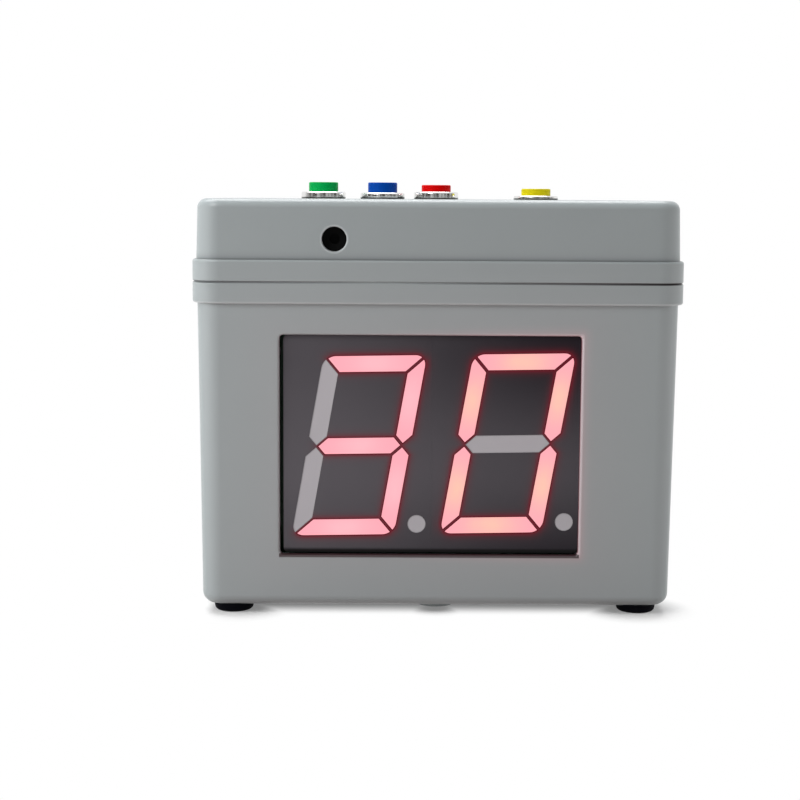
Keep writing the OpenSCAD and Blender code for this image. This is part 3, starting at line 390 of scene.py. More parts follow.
# Painted highlights: the colour that the rims below lighten towards.
HIGHLIGHT_TINT = (0.50, 0.54, 0.555, 1.0)
FLANGE_EDGE = (0.6 * MM, 0.2 * MM)
WINDOW_RIM = (0.7 * MM, 0.35 * MM)
WINDOW_HIGHLIGHT_SHARE = 0.55
HOLE_RIM = (0.6 * MM, 0.3 * MM)
HOLE_HIGHLIGHT_SHARE = 0.6
RIGHT_SIDE = (-45 * MM, 38 * MM)

# Painted highlight on the flange's lower edge, where it reflects the floor.
above_edge = case_z - (parting_z - BODY_LIP)
flange_highlight = above_edge.ramp(*FLANGE_EDGE) * above_edge.math("GREATER_THAN", -ON_FACE)
to_right_side = case_x.ramp(*RIGHT_SIDE)
# Painted highlight on the window's rim, most at the right.
window_highlight = from_window.ramp(*WINDOW_RIM) * on_front * to_right_side * WINDOW_HIGHLIGHT_SHARE
# Painted highlight round the sound hole's rim.
off_hole = (case_x - hole.x).diagonal(case_z - hole.z) - HOLE_R
hole_highlight = off_hole.ramp(*HOLE_RIM) * off_hole.math("GREATER_THAN", 0.0) * on_front * HOLE_HIGHLIGHT_SHARE
edge_highlights = flange_highlight.math("MAXIMUM", window_highlight).math("MAXIMUM", hole_highlight)

# Painted glow: the digits' red light on the window's surround, as emission on the case.
SPILL_COLOUR = (0.14, 0.022, 0.032, 1.0)
SPILL_REACH = 1.4 * MM
FAR_SPILL_REACH = 14 * MM
FAR_SPILL_SHARE = 0.15

near_spill = from_window.fall(SPILL_REACH) * to_right_side * (1 - ledge_shade)
far_spill = from_window.fall(FAR_SPILL_REACH) * FAR_SPILL_SHARE
spill = near_spill.math("MAXIMUM", far_spill) * on_front
end_material(case_tree, {
    "Base Color": painted_shade.colour(edge_highlights.colour(case_cloud.colour(*CASE_COLOUR), HIGHLIGHT_TINT), PAINTED_SHADE),
    "Roughness": case_cloud.between(*CASE_ROUGHNESS),
    "Specular IOR Level": 0.5,
    "Normal": case_speck.bump(CASE_GRAIN),
    "Emission Color": spill.colour(BLACK, SPILL_COLOUR),
    "Emission Strength": 1.0,
})

WINDOW_EDGE = 0.6 * MM
EDGE_REACH = 1.2 * MM
FACE_SETBACK = 0.2 * MM


def on_window_edge(point):
    """True on the outer edge of the window, a little outside the display's outline."""
    across = display_low.x - EDGE_REACH < point.x < display_high.x + EDGE_REACH
    upright = display_low.z - EDGE_REACH < point.z < display_high.z + EDGE_REACH
    return across and upright and point.y < display_low.y - FACE_SETBACK


body = copy_of("body_shell", "moulded_body")
round_edges(body, WINDOW_EDGE, on_window_edge)
shade(body)
seat(body, "case", "body_shell", "case_plastic", case_plastic)


# Lid: the upper half of the case in the same plastic, with its half of the flange. Its button holes,
# screw wells and round sound hole are moulded in, with lightly broken edges.
HOLE_EDGE = 0.3 * MM
HOLE_DEPTHS = (5 * MM, 13 * MM)
LID_FRONT = 2 * MM
TOP_SKIN = 0.05 * MM


def on_lid_edge(point):
    """True on the mouths of the screw wells and on the outer edge of the sound hole."""
    depth = lid_top - point.z
    at_sound_hole = point.y < cad_low.y + LID_FRONT and HOLE_DEPTHS[0] < depth < HOLE_DEPTHS[1]
    return depth < TOP_SKIN or at_sound_hole


lid = copy_of("lid_shell", "moulded_lid")
round_edges(lid, HOLE_EDGE, on_lid_edge)
shade(lid)
seat(lid, "case", "lid_shell", "case_plastic", case_plastic)


# Seal: a flat strip of black rubber that lies in the lid's groove. The body's tongue presses it when the
# lid is screwed down.
GRAINS_A_CLOUD = 40
GLOSS_WANDER = 0.125


def finish(name, colour, roughness, grain, depth, mottle=0.05, **constants):
    """A skin whose colour and gloss wander a little, with a fine grain of that many bumps a metre."""
    material, tree, place = start_material(name)
    cloud = place.noise(scale=grain / GRAINS_A_CLOUD, detail=4.0)
    dark = (*(c * (1 - mottle) for c in colour), 1.0)
    light = (*(c * (1 + mottle) for c in colour), 1.0)
    sockets = {
        "Base Color": cloud.colour(dark, light),
        "Roughness": cloud.between(roughness - GLOSS_WANDER, roughness + GLOSS_WANDER),
        "Normal": place.noise(scale=grain, detail=2.0).bump(depth),
    }
    for key, value in constants.items():
        sockets[key.replace("_", " ")] = value
    end_material(tree, sockets)
    return material


def dress(material, *nodes):
    """Gives solids that are shown as they are a finished material."""
    for node in nodes:
        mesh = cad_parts[node].data
        mesh.materials.clear()
        mesh.materials.append(material)


seal_rubber = finish("seal_rubber", (0.022, 0.022, 0.023), roughness=0.75, grain=4000, depth=0.01 * MM)
dress(seal_rubber, "lid_gasket")


# Lid screws: plated pan-head screws with a cross recess, driven down the wells in the lid's corners
# into the body's posts. The same kind holds the main board and the battery holder.
def rounded(corners, steps=5):
    """An outline whose corners, given as two coordinates and a radius, become arcs."""
    outline = []
    for i, (x, y, radius) in enumerate(corners):
        corner = Vector((x, y))
        if radius == 0:
            outline.append(corner)
            continue
        before = (Vector(corners[i - 1][:2]) - corner).normalized()
        after = (Vector(corners[(i + 1) % len(corners)][:2]) - corner).normalized()
        half = before.angle(after) / 2
        centre = corner + (before + after).normalized() * radius / math.sin(half)
        start = corner + before * radius / math.tan(half) - centre
        end = corner + after * radius / math.tan(half) - centre
        turn = start.angle_signed(end)
        for k in range(steps + 1):
            outline.append(centre + Matrix.Rotation(-turn * k / steps, 2) @ start)
    return outline


def lathe(name, outline, centre, steps=72):
    """A turned solid: a closed outline of radius and height goes round the upright axis at the centre."""
    bm = bmesh.new()
    rings = []
    for radius, height in outline:
        count = 1 if radius < WELD else steps
        ring = []
        for k in range(count):
            angle = 2 * math.pi * k / count
            offset = Vector((radius * math.cos(angle), radius * math.sin(angle), height))
            ring.append(bm.verts.new(centre + offset))
        rings.append(ring)
    for one, two in zip(rings, rings[1:] + rings[:1]):
        for k in range(steps):
            one_side = (one[k % len(one)], one[(k + 1) % len(one)])
            two_side = (two[(k + 1) % len(two)], two[k % len(two)])
            face = list(dict.fromkeys(one_side + two_side))
            if len(face) > 2:
                bm.faces.new(face)
    bmesh.ops.recalc_face_normals(bm, faces=bm.faces)
    mesh = bpy.data.meshes.new(name)
    bm.to_mesh(mesh)
    bm.free()
    piece = bpy.data.objects.new(name, mesh)
    scene.collection.objects.link(piece)
    return piece


def thread(radius, depth, pitch, low, high):
    """Ridges of a thread, as outline points from the high end down to the low one."""
    count = int((high - low) / pitch)
    points = []
    for k in range(count):
        points += [(radius - depth, high - k * pitch), (radius, high - (k + 0.5) * pitch)]
    return points + [(radius - depth, low)]


def plain_mesh(piece):
    """Turns what a piece's modifiers make into its own plain mesh."""
    made = bpy.data.meshes.new_from_object(piece.evaluated_get(bpy.context.evaluated_depsgraph_get()))
    piece.modifiers.clear()
    piece.data = made


HEAD_EDGE = 0.1 * MM
# Shares of the head's height
HEAD_DOME = 0.55
RECESS_HEIGHT = 1.1
# Shares of the head's width
RECESS_LENGTH = 0.6
RECESS_WIDTH = 0.132
# Shares of the shank's width
THREAD_DEPTH = 0.14
THREAD_PITCH = 0.32
PLAIN_NECK = 0.4


def screw_shape(name, d, length, head_d, head_h):
    """One screw with its head's seat at the origin and its shank down the Z axis."""
    head_r = head_d / 2
    head = rounded([
        (0, head_h, 0), (head_r, head_h, HEAD_DOME * head_h), (head_r, 0, HEAD_EDGE), (d / 2, 0, 0)
    ])
    shank = thread(d / 2, THREAD_DEPTH * d, THREAD_PITCH * d, low=d - length, high=-PLAIN_NECK * d)
    shape = lathe(name, head + shank + [(0, -length)], Vector(), steps=40)
    long, wide, tall = RECESS_LENGTH * head_d, RECESS_WIDTH * head_d, RECESS_HEIGHT * head_h
    cutter_mesh = bpy.data.meshes.new(name + "_recess")
    bm = bmesh.new()
    for size in ((long, wide, tall), (wide, long, tall)):
        bar = bmesh.ops.create_cube(bm, size=1)["verts"]
        bmesh.ops.scale(bm, vec=size, verts=bar)
        bmesh.ops.translate(bm, vec=(0, 0, head_h), verts=bar)
    bm.to_mesh(cutter_mesh)
    bm.free()
    cutter = bpy.data.objects.new(name + "_recess", cutter_mesh)
    scene.collection.objects.link(cutter)
    cut = shape.modifiers.new("recess", "BOOLEAN")
    cut.operation = "DIFFERENCE"
    cut.object = cutter
    cut.use_self = True
    plain_mesh(shape)
    bpy.data.objects.remove(cutter)
    return shape


def start_nodes(name, inputs):
    """A Geometry Nodes tree with named inputs, the identifiers of those inputs and what they give."""
    tree = bpy.data.node_groups.new(name, "GeometryNodeTree")
    identifiers = {}
    for label, kind in inputs.items():
        socket = tree.interface.new_socket(label, in_out="INPUT", socket_type=f"NodeSocket{kind}")
        identifiers[label] = socket.identifier
    tree.interface.new_socket("Pieces", in_out="OUTPUT", socket_type="NodeSocketGeometry")
    return tree, identifiers, Value(tree).node("NodeGroupInput")


def end_nodes(shapes, material):
    """Ends a tree: the shapes become one real mesh with its material."""
    real = shapes.node("GeometryNodeRealizeInstances", {}, {0: shapes})
    finished = shapes.node("GeometryNodeSetMaterial", {}, {"Geometry": real, "Material": material})
    shapes.node("NodeGroupOutput", {}, {0: finished})


def grow(piece, tree, identifiers, settings):
    """Runs a tree on a piece with these settings, and keeps what it makes as the piece's plain mesh."""
    maker = piece.modifiers.new("maker", "NODES")
    maker.node_group = tree
    for label, value in settings.items():
        maker[identifiers[label]] = value
    plain_mesh(piece)


repeat, repeat_inputs, given = start_nodes("repeat_at_places", {
    "Places": "Geometry", "Shape": "Object", "Lay": "Vector",
    "Most turn": "Float", "Seed": "Int", "Finish": "Material",
})
shape_in = given.node("GeometryNodeObjectInfo", {}, {"Object": given.out("Shape")}, "Geometry")
turn_range = {3: given.out("Most turn"), "Seed": given.out("Seed")}
own_turn = given.node("FunctionNodeRandomValue", {"data_type": "FLOAT"}, turn_range, 1)
turned = given.node("ShaderNodeCombineXYZ", {}, {"Z": own_turn})
lay_and_turn = {0: given.out("Lay"), 1: turned}
laid = given.node("FunctionNodeRotateRotation", {"rotation_space": "LOCAL"}, lay_and_turn)
copying = {"Points": given.out("Places"), "Instance": shape_in, "Rotation": laid}
end_nodes(given.node("GeometryNodeInstanceOnPoints", {}, copying), given.out("Finish"))


def repeated(name, shape, places, material, lay=(0, 0, 0), most_turn=0.0, seed=0):
    """One piece made of copies of a shape at the given places, each turned about its own axis."""
    mesh = bpy.data.meshes.new(name)
    mesh.from_pydata(places, [], [])
    piece = bpy.data.objects.new(name, mesh)
    scene.collection.objects.link(piece)
    settings = {"Shape": shape, "Lay": lay, "Most turn": most_turn, "Seed": seed, "Finish": material}
    grow(piece, repeat, repeat_inputs, settings)
    bpy.data.objects.remove(shape)
    return piece


def corner_places(node, inset, height, axes=(0, 1, 2)):
    """Four places inset from the corners of a node's box, at one height along the third axis."""
    low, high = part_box(node)
    places = []
    for one in (low[axes[0]] + inset, high[axes[0]] - inset):
        for two in (low[axes[1]] + inset, high[axes[1]] - inset):
            place = [0.0, 0.0, 0.0]
            place[axes[0]], place[axes[1]], place[axes[2]] = one, two, height
            places.append(place)
    return places


screw_steel = finish(
    "plated_steel", (0.62, 0.63, 0.65), roughness=0.32, grain=3000, depth=0.003 * MM, Metallic=1.0
)


def set_screws(node, d, head_d, head_h, seed, axes=(0, 1, 2), lay=(0, 0, 0)):
    """The four screws of a node along the third axis, each turned as the driver left it."""
    low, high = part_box(node)
    seat_at = high[axes[2]] - head_h
    screw = node.removesuffix("s")
    shape = screw_shape(screw, d, seat_at - low[axes[2]], head_d, head_h)
    places = corner_places(node, head_d / 2, seat_at, axes)
    screws = repeated(f"{screw}_set", shape, places, screw_steel, lay, most_turn=math.pi / 2, seed=seed)
    shade(screws)
    seat(screws, "case", node, "screw_steel", screw_steel)


set_screws("lid_screws", d=3.5 * MM, head_d=6.6 * MM, head_h=2.4 * MM, seed=3)


# Feet: four black rubber bumpers, moulded with a drafted side and a rounded tread, stuck under the
# corners of the body.
FOOT_TREAD_D = 9.4 * MM
FOOT_TOP_ROUND = 0.15 * MM
FOOT_TREAD_ROUND = 1.0 * MM

foot_rubber = finish(
    "foot_rubber", (0.002, 0.002, 0.004), roughness=0.7, grain=3500, depth=0.012 * MM, mottle=0.15,
    Specular_IOR_Level=0.06,
)
foot_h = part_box("rubber_feet")[1].z
foot_outline = rounded([
    (0, foot_h, 0), (FOOT_D / 2, foot_h, FOOT_TOP_ROUND),
    (FOOT_TREAD_D / 2, 0, FOOT_TREAD_ROUND), (0, 0, 0),
])
foot = lathe("rubber_foot", foot_outline, Vector())
foot_set = repeated("rubber_foot_set", foot, corner_places("rubber_feet", FOOT_D / 2, 0.0), foot_rubber)
shade(foot_set)
seat(foot_set, "case", "rubber_feet", "foot_rubber", foot_rubber)


# Segments: each light well of a digit is filled with milky epoxy. Lit segments glow pink with a
# warm middle where the lamp sits, and their edges against the well stay dark red.
SEGMENT_RIM = 0.2 * MM
SEGMENT_DIP = 0.05 * MM
LIT_EDGE = (1.0, 0.36, 0.42, 1.0)
LIT_BODY = (1.0, 0.39, 0.46, 1.0)
LIT_RESIN = (0.06, 0.03, 0.03, 1.0)
LIT_ROUGHNESS = (0.5, 0.6)
HOT = {"left": ((1.0, 0.50, 0.55, 1.0), 0.8), "right": ((1.0, 0.55, 0.42, 1.0), 0.9)}
HOT_WANDER = (0.75, 1.25)
HOT_FALL_ALONG = 3.5
HOT_FALL_ACROSS = 0.5
EDGE_STEEPNESS = 3.0
FACING_FRONT = -0.99
AT_FRONT = 0.01 * MM


def lit_epoxy(name, hot_colour, hot_share):
    """Glowing epoxy: the UV map runs from 0 to 1 along and across each segment."""
    material, tree, place = start_material(name)
    segment = tree.node("ShaderNodeUVMap", {"uv_map": "segment"})
    u = segment.axis("X").between(-1.0, 1.0)
    v = segment.axis("Y").between(-1.0, 1.0)
    near_lamp = (u * u * HOT_FALL_ALONG + v * v * HOT_FALL_ACROSS).fall(1.0)
    at_edge = (v * v).math("POWER", EDGE_STEEPNESS)
    cloud = place.noise(scale=320.0, detail=2.0)
    heat = near_lamp * hot_share * cloud.between(*HOT_WANDER)
    end_material(tree, {
        "Base Color": LIT_RESIN,
        "Roughness": cloud.between(*LIT_ROUGHNESS),
        "Specular IOR Level": 0.3,
        "Emission Color": heat.colour(at_edge.colour(LIT_BODY, LIT_EDGE), hot_colour),
        "Emission Strength": 1.0,
    })
    return material


def segment_faces(bm):
    """The front faces of the segments, which look along -Y."""
    front = min(v.co.y for v in bm.verts)
    facing = [f for f in bm.faces if f.normal.y < FACING_FRONT]
    return [f for f in facing if f.calc_center_median().y < front + AT_FRONT]


def outline_of(face):
    """The corners of a front face, as places across and up."""
    return [Vector((loop.vert.co.x, loop.vert.co.z)) for loop in face.loops]


def map_segment(face, uv_layer, outline):
    """Lays a UV map along the longest edge of the segment's outline, from 0 to 1 each way."""
    edges = [b - a for a, b in zip(outline, outline[1:] + outline[:1])]
    along = max(edges, key=lambda e: e.length).normalized()
    across = Vector((-along.y, along.x))
    us = [p.dot(along) for p in outline]
    vs = [p.dot(across) for p in outline]
    for loop, p in zip(face.loops, outline_of(face)):
        u = (p.dot(along) - min(us)) / (max(us) - min(us))
        v = (p.dot(across) - min(vs)) / (max(vs) - min(vs))
        loop[uv_layer].uv = (u, v)


def segment_piece(node, name):
    """A copy of a digit's segments whose faces stand a touch back inside a narrow rim."""
    piece = copy_of(node, name)
    bm = bmesh.new()
    bm.from_mesh(piece.data)
    uv_layer = bm.loops.layers.uv.new("segment")
    for face in bm.faces:
        face.material_index = 1
    fronts = segment_faces(bm)
    outlines = [outline_of(face) for face in fronts]
    bmesh.ops.inset_individual(
        bm, faces=fronts, thickness=SEGMENT_RIM, depth=-SEGMENT_DIP, use_even_offset=True
    )
    for face, outline in zip(fronts, outlines):
        face.material_index = 0
        map_segment(face, uv_layer, outline)
    bm.to_mesh(piece.data)
    bm.free()
    return piece, outlines


WELL_COLOUR = ((0.012, 0.001, 0.002, 1.0), (0.020, 0.002, 0.003, 1.0))
WELL_GLOW = ((0.050, 0.001, 0.004, 1.0), (0.075, 0.002, 0.006, 1.0))
WELL_ROUGHNESS = (0.6, 0.7)

well_edge, well_tree, well_place = start_material("glowing_well_edge")
well_cloud = well_place.noise(scale=400.0, detail=2.0)
end_material(well_tree, {
    "Base Color": well_cloud.colour(*WELL_COLOUR),
    "Roughness": well_cloud.between(*WELL_ROUGHNESS),
    "Specular IOR Level": 0.1,
    "Emission Color": well_cloud.colour(*WELL_GLOW),
    "Emission Strength": 1.0,
})
dark_epoxy = finish(
    "milky_epoxy", (0.47, 0.455, 0.485), roughness=0.42, grain=900, depth=0.004 * MM, mottle=0.03
)
# Painted shade: the unlit segments' narrow rim against the well is darker than their epoxy.
well_edge_shade = finish("well_edge_shade", (0.38, 0.37, 0.39), roughness=0.6, grain=900, depth=0.004 * MM)

lit_outlines = []
for side in ("left", "right"):
    lit, outlines = segment_piece(f"{side}_digit_lit_segments", f"{side}_digit_glow")
    lit_outlines += outlines
    lit_material = lit_epoxy(f"{side}_lit_epoxy", *HOT[side])
    seat(lit, "case", f"{side}_digit_lit_segments", "segment_lit", lit_material, well_edge)
    unlit, _ = segment_piece(f"{side}_digit_dark_segments", f"{side}_digit_unlit")
    seat(unlit, "case", f"{side}_digit_dark_segments", "segment_dark", dark_epoxy, well_edge_shade)


# Digit housings: black moulded reflectors, tight together at the seam, with a grey matt print on the face.
# Painted light and shade make the face palest at the left and near half-way up, and painted shade darkens
# it along the lower edge. The lamps' light round each lit segment is painted on as a faint red glow.
FACE_GRID = 0.8 * MM
SEAM_FILL = 0.045 * MM
CORNER_ROUND = 0.95 * MM
FACE_COLOUR = ((0.108, 0.101, 0.114, 1.0), (0.120, 0.112, 0.126, 1.0))
FACE_ROUGHNESS = (0.5, 0.7)
FACE_GRAIN = 0.003 * MM
FACE_SHADE = (0.008, 0.005, 0.009, 1.0)
BOTTOM_SHADE = (0.002, 0.002, 0.002, 1.0)
BOTTOM_FADE = (0.4 * MM, 1.35 * MM)
PALE_SIDES = (-37 * MM, 35 * MM)
PALE_HEIGHT = 36 * MM
PALE_LOWEST = 10 * MM
PALE_HIGHEST = 67 * MM
PALE_MIDDLE = (0.99, 0.68)
PALE_LOSS = (0.25, 0.62)
HALO_REACH = 0.6 * MM
HALO_COLOUR = (0.12, 0.003, 0.010, 1.0)
HALO_TINT = (0.020, 0.003, 0.006, 1.0)
TINT_SHARE = 0.8

edge_ends = [(a, b) for line in lit_outlines for a, b in zip(line, line[1:] + line[:1])]
edge_from = np.array([a for a, b in edge_ends])
edge_run = np.array([b - a for a, b in edge_ends])


def distance_to_lit(point):
    """Distance of a point of the face from the nearest lit segment's edge."""
    away = np.array((point.x, point.z)) - edge_from
    share = np.clip((away * edge_run).sum(1) / (edge_run * edge_run).sum(1), 0, 1)
    return np.sqrt(((away - share[:, None] * edge_run) ** 2).sum(1)).min()


face_material, face_tree, face_place = start_material("printed_face")
face_cloud = face_place.noise(scale=60.0, detail=3.0)
face_speck = face_place.noise(scale=5000.0, detail=2.0)
face_z = face_place.axis("Z")
halo = face_tree.node("ShaderNodeAttribute", {"attribute_name": "halo"}, output="Fac")
# Painted shade along the face's lower edge.
above_bottom_shade = (face_z - display_low.z).ramp(*BOTTOM_FADE)
# Painted light and shade across the face.
to_right = face_place.axis("X").ramp(*PALE_SIDES)
off_middle = face_z.ramp(PALE_HEIGHT, PALE_LOWEST) + face_z.ramp(PALE_HEIGHT, PALE_HIGHEST)
face_light = to_right.between(*PALE_MIDDLE) - to_right.between(*PALE_LOSS) * off_middle
lit_face_print = face_light.colour(FACE_SHADE, face_cloud.colour(*FACE_COLOUR))
# Painted glow: a red tint of the print round each lit segment, with the halo's emission below.
halo_tinted_print = (halo * TINT_SHARE).colour(lit_face_print, HALO_TINT)
end_material(face_tree, {
    "Base Color": above_bottom_shade.colour(BOTTOM_SHADE, halo_tinted_print),
    "Roughness": face_cloud.between(*FACE_ROUGHNESS),
    "Specular IOR Level": 0.12,
    "Normal": face_speck.bump(FACE_GRAIN),
    "Emission Color": halo.colour(BLACK, HALO_COLOUR),
    "Emission Strength": 1.0,
})

for side in ("left", "right"):
    node = f"{side}_digit_housing"
    housing = copy_of(node, f"{side}_digit_face")
    low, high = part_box(node)
    bm = bmesh.new()
    bm.from_mesh(housing.data)
    for axis in (0, 2):
        count = math.ceil((high[axis] - low[axis]) / FACE_GRID)
        normal = [1.0 if i == axis else 0.0 for i in range(3)]
        for k in range(1, count):
            fronts = [f for f in bm.faces if f.normal.y < FACING_FRONT]
            cut = {g for f in fronts for g in (f, *f.edges, *f.verts)}
            start = low + (high - low) * k / count
            bmesh.ops.bisect_plane(bm, geom=list(cut), plane_co=start, plane_no=normal)
    seam_x = high.x + SEAM_FILL if side == "left" else low.x - SEAM_FILL
    for vert in bm.verts:
        if abs(vert.co.x - seam_x) < CORNER_ROUND:
            vert.co.x = seam_x
    halo_layer = bm.verts.layers.float.new("halo")
    for vert in bm.verts:
        if vert.co.y < low.y + AT_FRONT:
            vert[halo_layer] = math.exp(-distance_to_lit(vert.co) / HALO_REACH)
    bm.to_mesh(housing.data)
    bm.free()
    seat(housing, "case", node, "display_face", face_material)


# Bezels: turned brass, polished and chromed, with a round flange that sits on the lid, with painted shade
# along its foot. The threaded barrel goes through the lid and a hexagon nut holds it from below.
CHROME_COLOUR = ((0.78, 0.78, 0.77, 1.0), (0.84, 0.84, 0.83, 1.0))
CHROME_ROUGHNESS = (0.08, 0.16)
CHROME_SHADE = (0.05, 0.045, 0.038, 1.0)
CONTACT_LINE = (0.55 * MM, 0.3 * MM)
CONTACT_SHADE_SHARE = (0.6, 1.1)

chrome, chrome_tree, chrome_place = start_material("polished_chrome")
chrome_cloud = chrome_place.noise(scale=300.0, detail=2.0)
# Painted shade along the flange's foot, where it meets the lid.
chrome_height = chrome_place.axis("Z") - lid_top
chrome_contact_shade = chrome_height.ramp(*CONTACT_LINE) * chrome_cloud.between(*CONTACT_SHADE_SHARE)
end_material(chrome_tree, {
    "Base Color": chrome_contact_shade.colour(chrome_cloud.colour(*CHROME_COLOUR), CHROME_SHADE),
    "Metallic": 1.0,
    "Roughness": chrome_cloud.between(*CHROME_ROUGHNESS),
})

COLOURS = ("green", "blue", "red", "yellow")
BARREL_R = 5.0 * MM
BARREL_THREAD_DEPTH = 0.25 * MM
BARREL_PITCH = 0.75 * MM
BARREL_NECK = 0.3 * MM
BORE_R = 4.2 * MM
BORE_ROUND = 0.2 * MM
GUIDE_R = 2.12 * MM
SEAT_DEPTH = 6.0 * MM
BEZEL_ROUND = 0.45 * MM
# The most round as a share of the flange's height, and the lower round as a share of the upper one
MOST_ROUND = 0.35
LOWER_ROUND = 0.6


def axis_point(low, high, height):
    """The point at one height on the upright axis of a round piece, from the corners of its box."""
    return Vector(((low.x + high.x) / 2, (low.y + high.y) / 2, height))


for name in COLOURS:
    low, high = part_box(f"{name}_bezel")
    flange_r = (high.x - low.x) / 2
    flange_h = high.z - lid_top
    barrel_end = low.z - lid_top
    top_round = min(BEZEL_ROUND, MOST_ROUND * flange_h)
    outline = rounded([
        (GUIDE_R, -SEAT_DEPTH, 0), (BORE_R, -SEAT_DEPTH, 0), (BORE_R, flange_h, BORE_ROUND),
        (flange_r, flange_h, top_round), (flange_r, 0, LOWER_ROUND * top_round), (BARREL_R, 0, 0),
    ])
    outline += thread(BARREL_R, BARREL_THREAD_DEPTH, BARREL_PITCH, barrel_end, -BARREL_NECK)
    outline += [(GUIDE_R, barrel_end)]
    bezel = lathe(f"{name}_button_bezel", outline, axis_point(low, high, lid_top), steps=96)
    shade(bezel)
    seat(bezel, "case", f"{name}_bezel", "bezel_chrome", chrome)


# Caps: round button tops moulded in coloured plastic, pressed on the plunger and free in the bezel,
# with a rounded edge and a slightly dished top.
CAP_COLOURS = {
    "green": (0.0, 0.34, 0.068),
    "blue": (0.0, 0.055, 0.34),
    "red": (0.60, 0.0, 0.0),
    "yellow": (0.66, 0.57, 0.006),
}
CAP_ROUND = 0.35 * MM
CAP_DISH = 0.15 * MM
SOCKET_R = 2.02 * MM
SOCKET_DEPTH = 2.0 * MM
# Where the dish bends, as shares of the cap's radius and of the dish's depth
DISH_BEND_R = 0.75
DISH_BEND_DEPTH = 0.6

for name in COLOURS:
    low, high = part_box(f"{name}_cap")
    cap_r = (high.x - low.x) / 2
    cap_h = high.z - low.z
    outline = rounded([
        (0, cap_h - CAP_DISH, 0), (DISH_BEND_R * cap_r, cap_h - DISH_BEND_DEPTH * CAP_DISH, 0),
        (cap_r, cap_h, CAP_ROUND), (cap_r, 0, 0),
        (SOCKET_R, 0, 0), (SOCKET_R, SOCKET_DEPTH, 0), (0, SOCKET_DEPTH, 0),
    ])
    cap = lathe(f"{name}_button_cap", outline, axis_point(low, high, low.z), steps=96)
    shade(cap)
    cap_plastic = finish(
        f"{name}_cap_plastic", CAP_COLOURS[name], roughness=0.42, grain=1800, depth=0.004 * MM,
        Specular_IOR_Level=0.06,
    )
    seat(cap, f"{name}_button", f"{name}_cap", f"cap_{name}", cap_plastic)


# Springs: a coil of drawn steel wire round each plunger, between the barrel's web and the cap.
WIRE_D = 0.5 * MM
TURNS = 4.0
STEPS_A_TURN = 40
WIRE_SIDES = 12

spring_steel = finish(
    "drawn_steel_wire", (0.56, 0.57, 0.59), roughness=0.28, grain=4000, depth=0.002 * MM, Metallic=1.0
)

coil, coil_inputs, asked = start_nodes("coil_of_wire", {
    "Base": "Geometry", "Radius": "Float", "Rise": "Float", "Turns": "Float",
    "Wire radius": "Float", "Place": "Vector", "Finish": "Material",
})
helix = asked.node("GeometryNodeCurveSpiral", {}, {
    "Resolution": STEPS_A_TURN, "Rotations": asked.out("Turns"), "Height": asked.out("Rise"),
    "Start Radius": asked.out("Radius"), "End Radius": asked.out("Radius"),
})
wire_size = {"Resolution": WIRE_SIDES, "Radius": asked.out("Wire radius")}
wire_round = asked.node("GeometryNodeCurvePrimitiveCircle", {"mode": "RADIUS"}, wire_size)
drawing = {"Curve": helix, "Profile Curve": wire_round, "Fill Caps": True}
placing = {"Geometry": asked.node("GeometryNodeCurveToMesh", {}, drawing), "Translation": asked.out("Place")}
end_nodes(asked.node("GeometryNodeTransform", {}, placing), asked.out("Finish"))

for name in COLOURS:
    low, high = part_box(f"{name}_spring")
    spring = bpy.data.objects.new(f"{name}_button_spring", bpy.data.meshes.new(f"{name}_button_spring"))
    scene.collection.objects.link(spring)
    grow(spring, coil, coil_inputs, {
        "Radius": (high.x - low.x - WIRE_D) / 2, "Rise": high.z - low.z - WIRE_D, "Turns": TURNS,
        "Wire radius": WIRE_D / 2, "Place": axis_point(low, high, low.z + WIRE_D / 2),
        "Finish": spring_steel,
    })
    shade(spring)
    plain_mesh(spring)
    seat(spring, "case", f"{name}_spring", "spring_steel", spring_steel)
    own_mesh(spring)


# Switch insides: a natural nylon plunger carries a brass bridge down on two brass terminals in a
# black moulded base. Plated nuts clamp the barrels under the lid.
white_nylon = finish("natural_nylon", (0.72, 0.71, 0.66), roughness=0.5, grain=1500, depth=0.006 * MM)
contact_brass = finish(
    "bare_brass", (0.72, 0.49, 0.17), roughness=0.3, grain=2500, depth=0.003 * MM, Metallic=1.0
)
switch_black = finish(
    "black_moulding", (0.018, 0.018, 0.019), roughness=0.5, grain=2200, depth=0.008 * MM, mottle=0.1
)
for name in COLOURS:
    dress(white_nylon, f"{name}_plunger")
    dress(contact_brass, f"{name}_contact")
    dress(switch_black, f"{name}_base")
dress(screw_steel, "button_nuts")
dress(contact_brass, "button_terminals")


# Boards: glass-fibre laminate with a green mask. The digits' tinned pins go through their own small
# boards into the main board, which carries moulded chips, resistors and two aluminium cans.
MASK_COLOUR = ((0.006, 0.075, 0.028, 1.0), (0.014, 0.125, 0.046, 1.0))
MASK_ROUGHNESS = (0.25, 0.40)
WEAVE_SHARE = 0.3
WEAVE_DEPTH = 0.004 * MM
THREADS_A_METRE = (1800.0, 1.0, 1800.0)

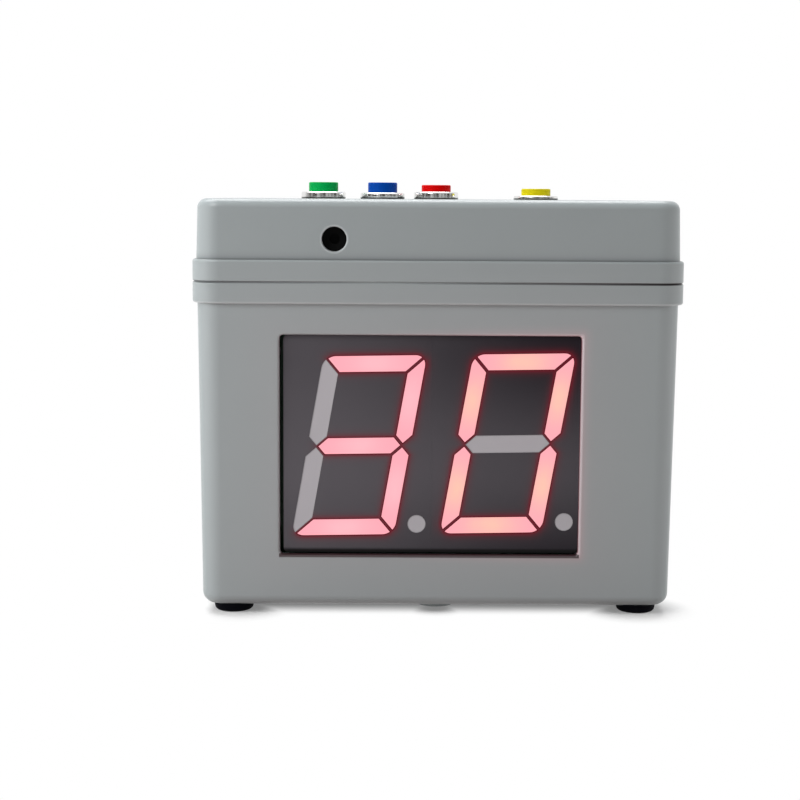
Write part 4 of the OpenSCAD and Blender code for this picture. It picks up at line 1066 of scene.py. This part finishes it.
board_mask, mask_tree, mask_place = start_material("green_board_mask")
threads = mask_tree.node("ShaderNodeMapping", {}, {"Vector": mask_place, "Scale": THREADS_A_METRE})
weave = mask_tree.node("ShaderNodeTexChecker", {}, {"Vector": threads, "Scale": 1.0}, "Fac")
mask_cloud = mask_place.noise(scale=90.0, detail=3.0)
mask_tone = weave * WEAVE_SHARE + mask_cloud * (1 - WEAVE_SHARE)
end_material(mask_tree, {
    "Base Color": mask_tone.colour(*MASK_COLOUR),
    "Roughness": mask_cloud.between(*MASK_ROUGHNESS),
    "Normal": weave.bump(WEAVE_DEPTH),
})
pin_tin = finish(
    "tinned_wire", (0.66, 0.66, 0.64), roughness=0.3, grain=3000, depth=0.003 * MM, Metallic=1.0
)
chip_epoxy = finish(
    "chip_epoxy", (0.02, 0.02, 0.021), roughness=0.6, grain=3500, depth=0.006 * MM, mottle=0.12
)
can_aluminium = finish(
    "drawn_aluminium", (0.72, 0.73, 0.74), roughness=0.25, grain=2500, depth=0.003 * MM, Metallic=1.0
)
dress(board_mask, "left_digit_led_board", "right_digit_led_board", "main_board")
dress(pin_tin, "left_digit_pins", "right_digit_pins")
dress(chip_epoxy, "controller_chip", "driver_chips", "resistors")
dress(can_aluminium, "capacitors")

FROM_BEHIND = (-math.pi / 2, 0, 0)
set_screws(
    "board_screws", d=2.9 * MM, head_d=5.4 * MM, head_h=1.9 * MM, seed=5, axes=(0, 2, 1), lay=FROM_BEHIND
)


# Buzzer: a small round sounder in a black moulded case, pushed into a collar behind the round hole of the
# lid. Two tinned pins stand out of its back.
sounder_black = finish(
    "sounder_black", (0.004, 0.004, 0.004), roughness=0.8, grain=2200, depth=0.008 * MM,
    Specular_IOR_Level=0.1,
)
dress(sounder_black, "buzzer_case")
dress(pin_tin, "buzzer_pins")


# Battery pack: a black tray, screwed to bosses on the floor, holds round cells in plain jackets
# between nickelled steel contacts.
JACKET_HALF = 23.5 * MM
JACKET_GREEN = ((0.020, 0.060, 0.035, 1.0), (0.030, 0.085, 0.050, 1.0))
BARE_CAN = ((0.50, 0.50, 0.49, 1.0), (0.60, 0.60, 0.59, 1.0))
CELL_ROUGHNESS = (0.28, 0.38)

cells_low, cells_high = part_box("battery_cells")
cells_middle = (cells_low.y + cells_high.y) / 2
jacket, jacket_tree, jacket_place = start_material("cell_jacket")
jacket_cloud = jacket_place.noise(scale=200.0, detail=3.0)
from_cell_middle = (jacket_place.axis("Y") - cells_middle).math("ABSOLUTE")
on_jacket = from_cell_middle.math("LESS_THAN", JACKET_HALF)
end_material(jacket_tree, {
    "Base Color": on_jacket.colour(jacket_cloud.colour(*BARE_CAN), jacket_cloud.colour(*JACKET_GREEN)),
    "Metallic": 1 - on_jacket,
    "Roughness": jacket_cloud.between(*CELL_ROUGHNESS),
})
dress(jacket, "battery_cells")
dress(switch_black, "battery_holder")
dress(spring_steel, "battery_contacts")
set_screws("holder_screws", d=2.5 * MM, head_d=4.6 * MM, head_h=1.4 * MM, seed=7)


# Wiring: stranded leads in thin sleeves run from nylon plugs on the main board to the switches, the
# buzzer and the battery pack.
LEADS = {
    "button_leads": ("grey_sleeve", (0.26, 0.25, 0.245), "lead_grey"),
    "buzzer_leads": ("red_sleeve", (0.36, 0.012, 0.012), "lead_red"),
    "battery_leads": ("dark_red_sleeve", (0.30, 0.010, 0.010), "lead_red"),
}
for node, (sleeve_name, sleeve_colour, slot) in LEADS.items():
    sleeve = finish(sleeve_name, sleeve_colour, roughness=0.42, grain=1200, depth=0.01 * MM)
    wires = copy_of(node, node.replace("leads", "wiring"))
    for face in wires.data.polygons:
        face.use_smooth = True
    seat(wires, "case", node, slot, sleeve)
dress(white_nylon, "lead_sockets", "lead_plugs")
